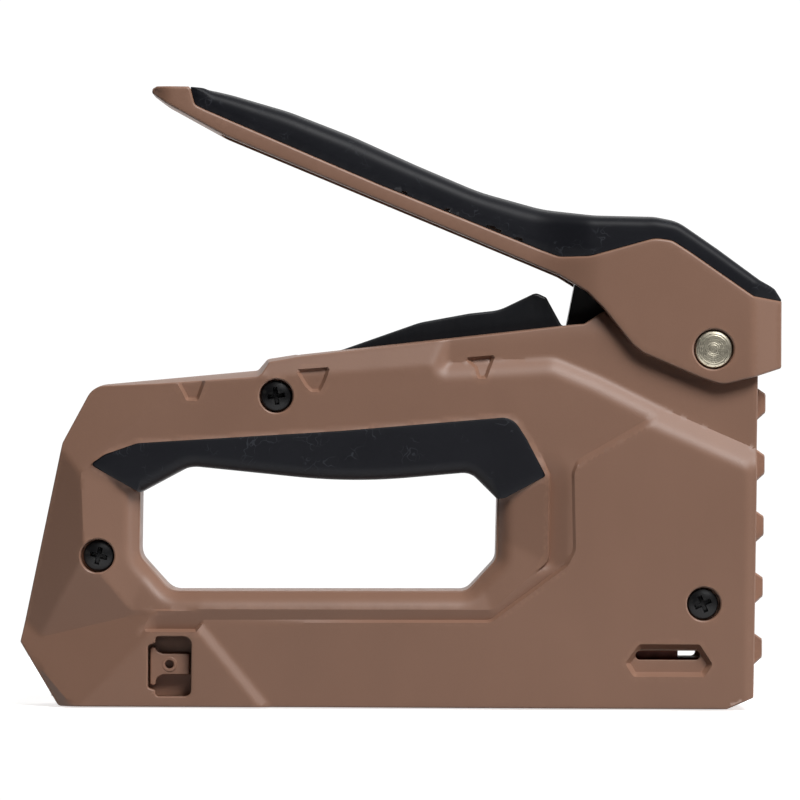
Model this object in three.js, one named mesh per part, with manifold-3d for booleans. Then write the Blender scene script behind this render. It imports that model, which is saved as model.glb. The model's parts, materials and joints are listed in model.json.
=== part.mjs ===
// Heavy-duty hand staple gun (tacker): two moulded shells around a squeeze-lever striking mechanism
// and a magazine that slides out of the back. Millimetres, +X to the nose, +Z up, +Y to the left side.
// The origin is under the middle of the bounding box, on the surface that the tool stands on.
import * as THREE from "three";
import { mergeVertices } from "three/addons/utils/BufferGeometryUtils.js";
import Module from "manifold-3d";

const wasm = await Module();
wasm.setup();

// ---------------------------------------------------------------- driving dimensions

const GAP = 0.3; // between pieces that meet and do not turn on each other
const RUN = 0.3; // radial room of a pin in its hole
const ROUND_STEPS = 16; // facets of a full circle
const FAR = 400; // a cutter that reaches past everything

// Housing
const SIDE_HALF = 15.2; // half width of the plain sides
const RING_HALF = 16; // half width at the ridge round the hand opening
const PANEL_HALF = 16.5; // half width at the flat nose panel
const NECK_HALF = 12.7; // half width between the lever's cheeks
const EDGE = 1.2; // chamfer along the outer edges
const BAR_ROOM = 10.2; // half width inside the grip bar and the neck
const NOSE_ROOM = 12.9; // half width inside the nose
const SLOT_REAR = -28.2;
const SLOT_FRONT = 62;
const HEAD_RADIUS = 12.4; // rounded head of the neck, about the lever's pivot
const FRONT_WALL = 92.8; // inside of the front wall
const NOSE_SEAT = 89; // where the nose plate leans on the front wall
const RIDGE_HALF = 8; // half width of the ribs down the nose
const RIDGE_OUT = 2.5;
const RIDGE_PITCH = 16.5;
const RIDGE_COUNT = 5;
const TUNNEL_TOP = 19.4;
const STRIP = 2.6; // rubber thickness on the underside of the grip bar
const GRIP_HALF = 16.2; // half width over the rubber grips
const GRIP_SEAT = 13; // half width of the shell under them
const NOTCH_DEEP = 2.2; // notches under the top slot, from the side inwards
const WINDOW_DEEP = 1.7; // recess round the staple window
const ARM_BOSS = 2.2; // wall of the boss round the arm's pin
const LIFTER_BOSS = 2.5; // wall of the boss round the lifter's pin
const PIN_BITE = 1.4; // how deep a pin's end sits in the wall that holds it

// Axes of the mechanism, [x, z]
const PIVOT = [83.9, 96.5]; // lever on the housing
const LINK_TOP = [53, 119.3]; // link on the lever
const LINK_FOOT = [48.8, 97.5]; // link on the drive arm
const ARM_AXIS = [-21, 88.5]; // drive arm on the housing
const LIFTER_AXIS = [67.5, 60]; // lifter on the housing

const PIVOT_R = 4;
const PIVOT_HEAD_R = 5;
const PIVOT_SUNK = 2.2; // depth of the seats of the rivet's head and cap in the cheeks
const RIVET_PROUD = 0.1; // the rivet's faces below the cheeks
const LINK_PIN_R = 2.5;
const ARM_PIN_R = 2.5;
const LIFTER_PIN_R = 3;
const ARM_BORE = 12.3; // half length of the bore that holds the arm's pin
const LIFTER_BORE = 13.1; // and of the lifter's
const LINK_PLAY = 0.6; // radial play of the link's foot, the linkage's open pivot

// Lever
const HANDLE_HALF = 12.8;
const CHEEK_HALF = 16.5;
const CHEEK_ROOM = 13.1; // half width between the cheeks
const HANDLE_ROOM = 9.8; // half width of the hollow under the handle
const CORE_HALF = 9.6; // half width of the handle under its rubber
const CORE_ROOM = 6.8;
const RUBBER = 3; // thickness of the rubber on the handle
const LEVER_WALL = 3;

// Stamped steel
const ARM_HALF = 6.5;
const ARM_WALL = 1.5;
const ARM_PLAY = 0.5; // to each side of the link inside the arm
const LINK_HALF = ARM_HALF - ARM_WALL - ARM_PLAY;
const SLOT_HALF = ARM_HALF + 1.1; // half width of the housing's top slot
const LINK_WALL = 1.2;
const LINK_WIDTH = 10;
const LIFTER_HALF = 4.4;
const LIFTER_REAR = 13.63; // from the lifter's axis to the tip that the arm presses
const LIFTER_FRONT = 15.56; // from the axis to the tip that lifts the plunger
const LIFTER_REST = 21.3; // degrees, rear tip up
const LIFTER_KNOB_R = 2.2;
const LIFTER_TIP_R = 1.8;

// Striker, as wide as a staple
const CROWN_HALF = 5.3; // half the width of a staple over its legs
const BLADE_BACK = 85.4;
const BLADE_THICK = 1.2;
const BLADE_HALF = CROWN_HALF;
const BLADE_PLAY = 0.6; // between the blade and the nose plate
const FLANGE = 1.2; // thickness of the nose plate's flanges
const NOSE_HALF = BLADE_HALF + BLADE_PLAY + FLANGE;
const BLADE_TOP = 60.6;
const PLUNGER_HALF = 7;
const PLUNGER_FOOT = 46;
const PLUNGER_TOP = 64;
const SPRING_X = 80.5;
const SPRING_R = 5; // to the middle of the wire
const SPRING_WIRE = 0.9;
const SPRING_TURNS = 6;
const SEAT_UNDER = 88.2; // underside of the spring seat

// Magazine
const TRAY_WALL = 1;
const STAPLE_PLAY = 0.7; // between the staples' legs and the tray
const TRAY_HALF = CROWN_HALF + STAPLE_PLAY + TRAY_WALL;
const TUNNEL_HALF = TRAY_HALF + 0.6; // half width of the housing's magazine tunnel
const TRAY_FLOOR = 1;
const TRAY_TOP = 12.5;
const TRAY_FRONT = 84.2;
const RAIL_HALF = CROWN_HALF - 0.4;
const RAIL_WALL = 0.8;
const RAIL_TOP = 11.5;
const RAIL_FRONT = 84.8;
const CAP_FRONT = -86;
const CAP_PIN_R = 1.2;
const ROD_Z = 7;
const ROD_R = 1;
const TAB_HALF = 2.2; // half width of the pusher's tab in the rail's slot
const PUSHER_REAR = 54;
const PUSHER_FRONT = 75;
const LATCH_AXIS = [-61.7, 11.3];
const LATCH_OUT = 13.7; // half width over the latch buttons

// Housing screws: head and shank
const SCREWS = {
  screw_top: [-33.4, 83.5],
  screw_rear: [-80.9, 40.4],
  screw_front: [81.3, 28.2],
};
const SCREW_HEAD_R = 4.1;
const SCREW_HEAD = 2.6;
const SCREW_R = 1.9;
const SCREW_LONG = 25;
const SCREW_SUNK = 0.5; // head below the surface round it
const BOSS_R = 3.5;

// ---------------------------------------------------------------- outlines, [x, z] or [x, z, radius]

// Side view of the two shells together, clockwise from the rear foot.
const BODY = [
  [-91.6, 0, 2],
  [-102.4, 17],
  [-90.8, 70.7, 3],
  [-82.6, 86.2, 5],
  [-38.8, 90.4],
  [-35.6, 93.6],
  [-26.7, 95],
  [46.1, 103.2],
  [49.3, 103.4],
  [54.4, 106.6, 2],
  [PIVOT[0] - HEAD_RADIUS / 2, PIVOT[1] + HEAD_RADIUS, 4],
  [PIVOT[0] + HEAD_RADIUS, PIVOT[1] + HEAD_RADIUS, HEAD_RADIUS * 0.95],
  [96, 88.9],
  [95, 3.1],
  [87.8, 0],
];
const NECK = [
  [24, 92.9],
  [41.3, 94, 6],
  [53.4, 89.2],
  [70.9, 80.6],
  [93.7, 70.6],
  [99, 68.3],
  [99, 115],
  [24, 115],
];
const PANEL = [
  [70.9, 80.6],
  [93.7, 70.6],
  [95.4, 68.2],
  [94.4, 4],
  [87.4, 0.6],
  [-37.2, 0.6],
  [-53.6, 22.4],
  [24.2, 23.7, 2],
  [44.5, 38.8],
  [46.4, 42.6],
  [45.9, 63.2],
  [47.3, 66.7, 2],
];
const RING = [
  [-85.6, 62.6],
  [-84.7, 40.7, 4],
  [-73, 26.1, 2],
  [24.6, 26.4, 2],
  [39.6, 39.5, 3],
  [39.9, 62.4],
  [30, 82.8, 3],
  [24.2, 86.1, 3],
  [-16.8, 82.5],
  [-68.6, 78.2, 2],
];
// The hand opening: its rubber-lined upper edge from front to back, then the rest of it.
const OPENING_TOP = [
  [26.1, 56.2],
  [18.6, 62.9, 6],
  [-12.9, 60.6, 40],
  [-56.5, 64.3, 8],
  [-69.9, 57.6],
];
const OPENING = [
  ...OPENING_TOP,
  [-70.1, 40.5, 4],
  [-61.6, 31, 4],
  [18, 31.3, 3],
  [25.8, 39.8, 3],
];
const GRIP = [
  ...OPENING_TOP,
  [-79, 66.5],
  [-69.8, 70.6],
  [-16.2, 74.2],
  [29, 78, 2],
  [33.8, 72.4],
  [39, 62.3, 1],
  [27.6, 56.5],
];
const NECK_HOLLOW = [
  [-64, 69],
  [-69.5, 74],
  [-69.5, 83.2],
  [-38.6, 87.2],
  [-35.2, 90.2],
  [-26.7, 91.8],
  [46, 99.8],
  [62, 99.8],
  [65, 90.8],
  [FRONT_WALL, 90.8],
  [FRONT_WALL, 64],
  [72, 70],
  [50, 64],
  [45.4, 66.4],
  [42, 69],
];
const NOSE_HOLLOW = [
  [-66, 3],
  [NOSE_SEAT, 3],
  [NOSE_SEAT, 48],
  [FRONT_WALL, 48],
  [FRONT_WALL, 66.5],
  [91, 69.2],
  [71.5, 77.6],
  [49, 69.4],
  [43, 66],
  [43, 42],
  [28.5, 28.4],
  [-60, 28.2],
  [-66, 26],
];
const REAR_HOLLOW = [
  [-73, 69.3],
  [-82.8, 69.3],
  [-82.8, 45],
  [-82.8, 36],
  [-73, 26],
  [-61, 26],
  [-61, 28.2],
  [-72.8, 39.5],
];
const RIDGE = [
  [-3, 0.3],
  [0, 0.3],
  [RIDGE_OUT, 2.3],
  [RIDGE_OUT, 7.1],
  [0, 9.1],
  [-3, 9.1],
];
const RIDGE_FOOT = [95.4, 11.4]; // foot of the lowest ridge
const WINDOW_RECESS = [
  [64.2, 17.3],
  [80.5, 17.3],
  [84, 12],
  [81.8, 8.7],
  [62.7, 8.7],
  [60.4, 12.2],
];
const WINDOW = [
  [63.3, 13.1, 1.2],
  [80.7, 13.1, 1.2],
  [80.7, 15.6, 1.2],
  [63.3, 15.6, 1.2],
];
const POCKET = [
  [-67.5, 5.1],
  [-65.6, 2.8],
  [-56.5, 2.8],
  [-55.8, 3.8],
  [-55.8, 18],
  [-56.5, 18.8],
  [-65.7, 18.8],
  [-67.5, 16.4],
];
const NOTCHES = [
  [
    [-61.6, 89],
    [-57.5, 82.1],
    [-54.3, 82.1],
    [-52.6, 89],
  ],
  [
    [-27.4, 97],
    [-24, 84.6],
    [-21.6, 84.6],
    [-18.4, 97],
  ],
  [
    [17.2, 103],
    [20.7, 88.3],
    [23.1, 88.3],
    [25.6, 103],
  ],
];

// The lever's upper edge from its tip to the nose, its lower edge back, and the rubber's lower edge.
const LEVER_TOP = [
  [-67.5, 165.9],
  [-65.9, 166.7],
  [-56.8, 166.5],
  [-47.7, 165.2],
  [-30.5, 160.4],
  [-13.3, 153.8],
  [3.9, 146.1],
  [21, 138.9],
  [38.2, 134.2],
  [52, 132.7],
  [68.2, 132.4],
  [74.5, 131.2],
  [85.4, 123.7],
  [100.5, 112.7],
  [102.4, 109.7],
];
const LEVER_UNDER = [
  [102.4, 90.5],
  [94.2, 87],
  [86.9, 84.5],
  [70, 90.1],
  [66.8, 92.2],
  [54.4, 106.4],
  [50.1, 111.7],
  [42.6, 116.2],
  [-47.6, 153.4],
  [-63.2, 161.9],
  [-67.5, 164.8],
];
const RUBBER_UNDER = [
  [-56.8, 166.2],
  [-54.6, 161.1],
  [-5.8, 140.4],
  [37.2, 123.2],
  [46.6, 120.8],
  [68, 126.3],
  [72.6, 125.7],
  [94.6, 110.8],
  [102.4, 109.5],
];
const CHEEK_REAR = 44; // the cheeks stand proud from here to the nose
const CHEEK_FRONT = 102.3;

// The drive arm, seen from the side: a tail behind its pivot, a long back, a hump and a leg.
const ARM = [
  [-27.3, 90.4],
  [-26.7, 94.2],
  [-16.3, 95.9],
  [5.1, 103.5, 20],
  [18.5, 106, 20],
  [26.5, 106.9, 12],
  [36.6, 112, 2.5],
  [43.4, 102.6, 1],
  [51.5, 103, 3],
  [54.8, 98],
  [55.5, 92],
  [60.6, 72, 1],
  [60.6, 67.45],
  [52.5, 67.45],
  [44, 88.6],
  [36, 89.6, 10],
  [-14, 84.3],
  [-21, 83.2],
  [-26, 85],
];
const ARM_HOLLOW = [
  [-30, 60],
  [-30, 120],
  [18.5, 120],
  [18.5, 104.4],
  [26.8, 105.2],
  [34.5, 108.8],
  [37.6, 108.6],
  [42, 130],
  [75, 130],
  [75, 69.5],
  [50, 69.5],
  [40, 60],
];

// ---------------------------------------------------------------- shape helpers

/** A closed shape from corners; a corner's third number rounds it with an arc of that radius. */
function outline(corners) {
  const shape = new THREE.Shape();
  corners.forEach((corner, i) => {
    const here = new THREE.Vector2(corner[0], corner[1]);
    const last = corners[(i + corners.length - 1) % corners.length];
    const next = corners[(i + 1) % corners.length];
    const back = new THREE.Vector2(last[0], last[1]).sub(here);
    const on = new THREE.Vector2(next[0], next[1]).sub(here);
    const turn = Math.acos(back.dot(on) / back.length() / on.length());
    const points = [here];
    if (corner[2] && Math.PI - turn > 0.02) {
      const room = 0.48 * Math.min(back.length(), on.length());
      const reach = Math.min(room, corner[2] / Math.tan(turn / 2));
      const radius = reach * Math.tan(turn / 2);
      const start = here.clone().addScaledVector(back.normalize(), reach);
      const end = here.clone().addScaledVector(on.normalize(), reach);
      const middle = back.clone().add(on).normalize();
      const centre = here.clone().addScaledVector(middle, radius / Math.sin(turn / 2));
      const from = start.clone().sub(centre).angle();
      let sweep = end.clone().sub(centre).angle() - from;
      sweep -= 2 * Math.PI * Math.round(sweep / 2 / Math.PI);
      const steps = Math.max(1, Math.round((Math.abs(sweep) * ROUND_STEPS) / 2 / Math.PI));
      points.length = 0;
      for (let k = 0; k <= steps; k++) {
        const a = from + (sweep * k) / steps;
        points.push(new THREE.Vector2(Math.cos(a), Math.sin(a)).multiplyScalar(radius).add(centre));
      }
    }
    points.forEach((p, k) => (i + k ? shape.lineTo(p.x, p.y) : shape.moveTo(p.x, p.y)));
  });
  shape.closePath();
  return shape;
}

/** A geometry as a solid that can be joined and cut. */
function solid(geometry) {
  geometry.deleteAttribute("normal");
  geometry.deleteAttribute("uv");
  const merged = mergeVertices(geometry, 1e-4);
  return new wasm.Manifold(
    new wasm.Mesh({
      numProp: 3,
      vertProperties: new Float32Array(merged.attributes.position.array),
      triVerts: new Uint32Array(merged.index.array),
    }),
  );
}

/** A plate with this side view, from y = low to y = high; edge chamfers both faces' rims. */
function plate(corners, low, high, edge = 0) {
  const geometry = new THREE.ExtrudeGeometry(outline(corners), {
    depth: high - low - 2 * edge,
    bevelEnabled: edge > 0,
    bevelThickness: edge,
    bevelSize: edge,
    bevelOffset: -edge,
    bevelSegments: 1,
    curveSegments: 1,
  });
  geometry.rotateX(Math.PI / 2);
  geometry.translate(0, high - edge, 0);
  return solid(geometry);
}

/** A box between two corners. */
function block(low, high) {
  const size = high.map((v, i) => v - low[i]);
  const geometry = new THREE.BoxGeometry(...size);
  geometry.translate(...high.map((v, i) => (v + low[i]) / 2));
  return solid(geometry);
}

/** A body turned about a line along Y through [x, z]; profile runs [radius, y] from end to end. */
function turned(profile, [x, z], steps = ROUND_STEPS) {
  const points = profile.map(([r, y]) => new THREE.Vector2(r, y));
  const geometry = new THREE.LatheGeometry(points, steps);
  geometry.translate(x, 0, z);
  return solid(geometry);
}

/** A round bar along Y from y = low to y = high. */
function bar(radius, low, high, at, steps = ROUND_STEPS) {
  const profile = [
    [0, low],
    [radius, low],
    [radius, high],
    [0, high],
  ];
  return turned(profile, at, steps);
}

/** A round tube or rod along X from x = low to x = high, about y = 0 and height z. */
function rodAlongX(radius, bore, low, high, z, steps) {
  const inner = bore > 0 ? bore : 0;
  const profile = [
    [inner, low],
    [radius, low],
    [radius, high],
    [inner, high],
  ];
  if (bore > 0) profile.push([inner, low]);
  const geometry = new THREE.LatheGeometry(
    profile.map(([r, x]) => new THREE.Vector2(r, x)),
    steps,
  );
  geometry.rotateZ(-Math.PI / 2);
  geometry.translate(0, 0, z);
  return solid(geometry);
}

/** What is left of a body on the inner side of a plane through three points; inner is a point inside. */
function trim(body, a, b, c, inner = [0, 0, 50]) {
  const plane = new THREE.Plane().setFromCoplanarPoints(
    new THREE.Vector3(...a),
    new THREE.Vector3(...b),
    new THREE.Vector3(...c),
  );
  if (plane.distanceToPoint(new THREE.Vector3(...inner)) > 0) plane.negate();
  const cutter = new THREE.BoxGeometry(FAR, FAR, FAR);
  cutter.translate(0, 0, FAR / 2);
  const up = new THREE.Vector3(0, 0, 1);
  cutter.applyQuaternion(new THREE.Quaternion().setFromUnitVectors(up, plane.normal));
  const foot = plane.coplanarPoint(new THREE.Vector3());
  cutter.translate(foot.x, foot.y, foot.z);
  return body.subtract(solid(cutter));
}

/** Both side's trims at once: the points are given for the right side (negative y). */
function trimBoth(body, a, b, c, inner) {
  const mirrored = [a, b, c].map(([x, y, z]) => [x, -y, z]);
  return trim(trim(body, a, b, c, inner), ...mirrored, inner);
}

/** A wire wound about an axis along Z (or Y) as one swept tube. */
function coil({ radius, wire, turns, length, centre, alongY = false, perTurn = 10, sides = 5 }) {
  const path = new THREE.Curve();
  path.getPoint = (t) => {
    const a = 2 * Math.PI * turns * t;
    const [u, v, w] = [radius * Math.cos(a), radius * Math.sin(a), length * (t - 0.5)];
    const local = alongY ? [u, w, v] : [u, v, w];
    return new THREE.Vector3(...local.map((value, i) => value + centre[i]));
  };
  const section = [];
  for (let i = 0; i < sides; i++) {
    const a = (2 * Math.PI * i) / sides;
    section.push(new THREE.Vector2(wire * Math.cos(a), wire * Math.sin(a)));
  }
  return solid(
    new THREE.ExtrudeGeometry(new THREE.Shape(section), {
      steps: Math.round(turns * perTurn),
      bevelEnabled: false,
      extrudePath: path,
    }),
  );
}

/** A run of points moved down by a distance. */
const lowered = (points, by) => points.map(([x, z]) => [x, z - by]);

/** The point at x on a run of points. */
function pointAt(points, x) {
  const i = points.findIndex((p, k) => k + 1 < points.length && (x - p[0]) * (x - points[k + 1][0]) <= 0);
  const [p, q] = [points[i], points[i + 1]];
  return [x, p[1] + ((q[1] - p[1]) * (x - p[0])) / (q[0] - p[0])];
}

/** The part of a run of points between two x values, with its ends. */
function between(points, low, high) {
  const inside = points.filter(([x]) => x > low && x < high);
  return [pointAt(points, low), ...inside, pointAt(points, high)];
}

/** The band between the opening's upper edge and the same edge raised. */
function raisedTop(by) {
  const upper = OPENING_TOP.slice(1, -1).map(([x, z, r]) => [x, z + by, r]);
  const ends = [OPENING_TOP[0], OPENING_TOP.at(-1)];
  return [...OPENING_TOP, ...[ends[1], ...upper.reverse(), ends[0]].slice(1, -1)];
}

/** The point at a distance and angle (degrees) from an axis, turning from +X towards +Z. */
const around = ([x, z], distance, degrees) => [
  x + distance * Math.cos((degrees * Math.PI) / 180),
  z + distance * Math.sin((degrees * Math.PI) / 180),
];

// ---------------------------------------------------------------- pieces

const finishes = {
  tan: { color: 0x8d7262, roughness: 0.48, metalness: 0 },
  rubber: { color: 0x15171b, roughness: 0.62, metalness: 0 },
  black: { color: 0x101214, roughness: 0.3, metalness: 0.6 },
  steel: { color: 0xb4b2ac, roughness: 0.32, metalness: 1 },
  spring: { color: 0x83858a, roughness: 0.35, metalness: 1 },
  rust: { color: 0x8c3a1e, roughness: 0.5, metalness: 0 },
};
const root = new THREE.Group();

/** Puts a finished piece into the model under its name. */
function add(name, body, finish) {
  const made = body.getMesh();
  const geometry = new THREE.BufferGeometry();
  geometry.setAttribute("position", new THREE.BufferAttribute(made.vertProperties, 3));
  geometry.setIndex(new THREE.BufferAttribute(made.triVerts, 1));
  geometry.computeVertexNormals();
  const mesh = new THREE.Mesh(geometry, new THREE.MeshStandardMaterial(finishes[finish]));
  mesh.name = name;
  root.add(mesh);
  return mesh;
}

/** Both shells as one hollow body, before they are parted along the middle. */
function housing() {
  let body = plate(BODY, -SIDE_HALF, SIDE_HALF, EDGE)
    .add(plate(RING, -RING_HALF, RING_HALF, EDGE))
    .add(plate(PANEL, -PANEL_HALF, PANEL_HALF, EDGE));
  for (const side of [-1, 1]) {
    const [low, high] = side < 0 ? [-FAR, -NECK_HALF] : [NECK_HALF, FAR];
    body = body.subtract(plate(NECK, low, high));
    for (const notch of NOTCHES) {
      const reach = SIDE_HALF - NOTCH_DEEP;
      const ends = side < 0 ? [-FAR, -reach] : [reach, FAR];
      body = body.subtract(plate(notch, ...ends));
    }
    const seat = side < 0 ? [-FAR, -GRIP_SEAT] : [GRIP_SEAT, FAR];
    body = body.subtract(plate(GRIP, ...seat));
    const floor = PANEL_HALF - WINDOW_DEEP;
    const recess = side < 0 ? [-FAR, -floor] : [floor, FAR];
    body = body.subtract(plate(WINDOW_RECESS, ...recess));
  }
  // The faceted rear: a steep upper face, a lower face to the foot, and the corner above the grip.
  body = trimBoth(body, [-85.4, -SIDE_HALF, 62], [-84.8, -SIDE_HALF, 41], [-98, -8.4, 36]);
  body = trimBoth(body, [-84.8, -SIDE_HALF, 41], [-72, -SIDE_HALF, 25.6], [-102, -9.8, 17]);
  body = trimBoth(body, [-71.5, -SIDE_HALF, 25.4], [-86.9, -SIDE_HALF, 0.5], [-102, -9.8, 17]);
  body = trimBoth(body, [-84, -SIDE_HALF, 65.4], [-69.8, -SIDE_HALF, 77.4], [-82.5, -11.5, 86]);

  const hollow = plate(NECK_HOLLOW, -BAR_ROOM, BAR_ROOM)
    .add(plate(NOSE_HOLLOW, -NOSE_ROOM, NOSE_ROOM))
    .add(plate(REAR_HOLLOW, -BAR_ROOM, BAR_ROOM));
  body = body.subtract(hollow);
  body = body
    .subtract(plate(OPENING, -FAR, FAR))
    .subtract(plate(raisedTop(STRIP), -FAR, FAR));

  // Bosses and ribs that hold the inner pieces.
  for (const side of [-1, 1]) {
    const span = (near, far) => (side < 0 ? [-far, -near] : [near, far]);
    body = body
      .add(bar(ARM_PIN_R + ARM_BOSS, ...span(ARM_HALF + 0.5, BAR_ROOM + 1), ARM_AXIS))
      .add(bar(LIFTER_PIN_R + LIFTER_BOSS, ...span(LIFTER_HALF + 0.5, NOSE_ROOM + 1), LIFTER_AXIS));
    const [low, high] = span(NOSE_HALF + GAP, NOSE_ROOM + 1);
    body = body.add(block([BLADE_BACK - 5.4, low, 20], [NOSE_SEAT + 1, high, PLUNGER_FOOT - 0.6]));
  }
  for (const at of Object.values(SCREWS)) body = body.add(bar(BOSS_R, -13, 13, at));

  // Ways in and out, and bores.
  body = body
    .subtract(block([SLOT_REAR, -SLOT_HALF, 85], [SLOT_FRONT, SLOT_HALF, 120]))
    .subtract(block([-FAR, -TUNNEL_HALF, -5], [-60, TUNNEL_HALF, TUNNEL_TOP]))
    .subtract(block([-62, -TUNNEL_HALF, -5], [NOSE_SEAT, TUNNEL_HALF, 4]))
    .subtract(plate(WINDOW, -FAR, FAR))
    .subtract(plate(POCKET, -FAR, FAR))
    .subtract(bar(PIVOT_R + RUN, -FAR, FAR, PIVOT))
    .subtract(bar(ARM_PIN_R + RUN, -ARM_BORE, ARM_BORE, ARM_AXIS))
    .subtract(bar(LIFTER_PIN_R + RUN, -LIFTER_BORE, LIFTER_BORE, LIFTER_AXIS));
  for (let i = 0; i < RIDGE_COUNT; i++) {
    const ridge = RIDGE.map(([x, z]) => [RIDGE_FOOT[0] + x, RIDGE_FOOT[1] - 0.3 + z + i * RIDGE_PITCH]);
    body = body.add(plate(ridge, -RIDGE_HALF, RIDGE_HALF));
  }
  return body;
}

/** How far out from the middle the shell's outside is at each screw. */
const screwFace = { screw_top: SIDE_HALF, screw_rear: SIDE_HALF, screw_front: PANEL_HALF };

function addHousing() {
  const whole = housing();
  const halfGap = GAP / 2;
  let right = whole.subtract(block([-FAR, -halfGap, -FAR], [FAR, FAR, FAR]));
  let left = whole.subtract(block([-FAR, -FAR, -FAR], [FAR, halfGap, FAR]));
  for (const [name, at] of Object.entries(SCREWS)) {
    const face = -screwFace[name] + SCREW_SUNK;
    const under = face + SCREW_HEAD;
    right = right
      .subtract(bar(SCREW_HEAD_R + RUN, -FAR, under + GAP, at))
      .subtract(bar(SCREW_R + RUN, -FAR, FAR, at));
    left = left.subtract(bar(SCREW_R + RUN, -1, under + SCREW_LONG + GAP, at));
    const profile = [
      [0, face],
      [SCREW_HEAD_R - 1, face],
      [SCREW_HEAD_R, face + 1],
      [SCREW_HEAD_R, under],
      [SCREW_R, under],
      [SCREW_R, under + SCREW_LONG - 1],
      [SCREW_R - 0.8, under + SCREW_LONG],
      [0, under + SCREW_LONG],
    ];
    const socket = block([at[0] - 0.5, face - 1, at[1] - 2], [at[0] + 0.5, face + 1.6, at[1] + 2]).add(
      block([at[0] - 2, face - 1, at[1] - 0.5], [at[0] + 2, face + 1.6, at[1] + 0.5]),
    );
    add(name, turned(profile, at).subtract(socket), "black");
  }
  add("housing_right", right, "tan");
  add("housing_left", left, "tan");
}

/** The rubber grip that lines the bar, one piece on each shell. */
function addBodyGrips() {
  const halfGap = GAP / 2;
  const lining = OPENING_TOP.slice(1, -1).map(([x, z, r]) => [x, z + STRIP - GAP, r]);
  const band = [...OPENING_TOP, ...lining.reverse()];
  const outer = plate(GRIP, GRIP_SEAT + GAP, GRIP_HALF);
  const left = outer.add(plate(band, halfGap, GRIP_SEAT + 1));
  const inner = plate(GRIP, -GRIP_HALF, -GRIP_SEAT - GAP);
  const right = inner.add(plate(band, -GRIP_SEAT - 1, -halfGap));
  add("body_grip_right", right, "rubber");
  add("body_grip_left", left, "rubber");
}

/** The steel nose plate with its flanges, and the rubber stop that the plunger lands on. */
function addNose() {
  const front = NOSE_SEAT - GAP;
  const back = BLADE_BACK + BLADE_THICK + BLADE_PLAY;
  const plateTop = 44;
  const room = BLADE_HALF + BLADE_PLAY;
  const nose = block([BLADE_BACK - 0.1, -NOSE_HALF, 0.5], [front, NOSE_HALF, plateTop]).subtract(
    block([BLADE_BACK - 1, -room, 0], [back, room, plateTop + 1]),
  );
  add("nose_plate", nose, "steel");
  const stop = block([78.5, -TRAY_HALF, 40], [BLADE_BACK - 0.4, TRAY_HALF, PLUNGER_FOOT - 0.6]);
  add("plunger_bumper", stop, "rubber");
}

/** The lever: a hollow handle with two cheeks over the neck, and the rubber on its back. */
function addLever() {
  const whole = [...LEVER_TOP, ...LEVER_UNDER];
  const tip = -50; // the hollow ends short of the handle's solid tip
  const frontIn = LEVER_TOP.at(-1)[0] - LEVER_WALL;
  const visible = [LEVER_TOP[0], LEVER_TOP[1], ...RUBBER_UNDER, ...LEVER_UNDER];
  const cheek = [
    ...between(RUBBER_UNDER, CHEEK_REAR, CHEEK_FRONT),
    ...LEVER_UNDER.filter(([x]) => x > CHEEK_REAR),
    pointAt(LEVER_UNDER.slice(3), CHEEK_REAR),
  ];
  const coreRear = -55; // the core under the rubber starts here
  const coreTop = between(lowered(LEVER_TOP, RUBBER), coreRear, frontIn);
  const coreUnder = between(lowered(RUBBER_UNDER, RUBBER / 2), coreRear + 1, frontIn);
  const core = [...coreTop, ...coreUnder.reverse()];
  const below = between(RUBBER_UNDER, tip, frontIn);
  const pit = [...lowered(below, 2), [frontIn, 60], [tip, 140]];
  const underTop = between(lowered(LEVER_TOP, RUBBER + LEVER_WALL), tip, frontIn);
  const deep = [...underTop, [frontIn, 90], [tip, 150]];
  const pitRear = CHEEK_REAR + 4;
  const underCheek = between(lowered(RUBBER_UNDER, 2), pitRear, frontIn);
  const cheekPit = [...underCheek, [frontIn, 60], [pitRear, 60]];
  const holeEnd = CHEEK_ROOM + PIN_BITE;
  let body = plate(visible, -HANDLE_HALF, HANDLE_HALF)
    .add(plate(cheek, -CHEEK_HALF, CHEEK_HALF))
    .add(plate(core, -CORE_HALF, CORE_HALF))
    .subtract(plate(pit, -HANDLE_ROOM, HANDLE_ROOM))
    .subtract(plate(deep, -CORE_ROOM, CORE_ROOM))
    .subtract(plate(cheekPit, -CHEEK_ROOM, CHEEK_ROOM))
    .subtract(bar(PIVOT_R + RUN, -FAR, FAR, PIVOT))
    .subtract(bar(LINK_PIN_R + RUN, -holeEnd, holeEnd, LINK_TOP));
  const seatFloor = CHEEK_HALF - PIVOT_SUNK;
  body = body
    .subtract(bar(PIVOT_HEAD_R + RUN, -FAR, -seatFloor, PIVOT))
    .subtract(bar(PIVOT_HEAD_R + RUN, seatFloor, FAR, PIVOT));
  add("lever", body, "tan");

  const back = [...LEVER_TOP.slice(2), ...RUBBER_UNDER.slice(0, -1).reverse()];
  const wideUnder = between(RUBBER_UNDER, CHEEK_REAR, CHEEK_FRONT).reverse();
  const wide = [...between(LEVER_TOP, CHEEK_REAR, CHEEK_FRONT), ...wideUnder];
  const seat = [
    ...between(lowered(LEVER_TOP, RUBBER - GAP), coreRear - GAP, frontIn + GAP),
    ...between(lowered(RUBBER_UNDER, RUBBER), coreRear + 1 - GAP, frontIn + GAP).reverse(),
  ];
  const rubber = plate(lowered(back, -GAP), -HANDLE_HALF, HANDLE_HALF)
    .add(plate(lowered(wide, -GAP), 0.4 - CHEEK_HALF, CHEEK_HALF - 0.4))
    .subtract(plate(seat, -CORE_HALF - GAP, CORE_HALF + GAP));
  add("lever_grip", rubber, "rubber");
}

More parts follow.
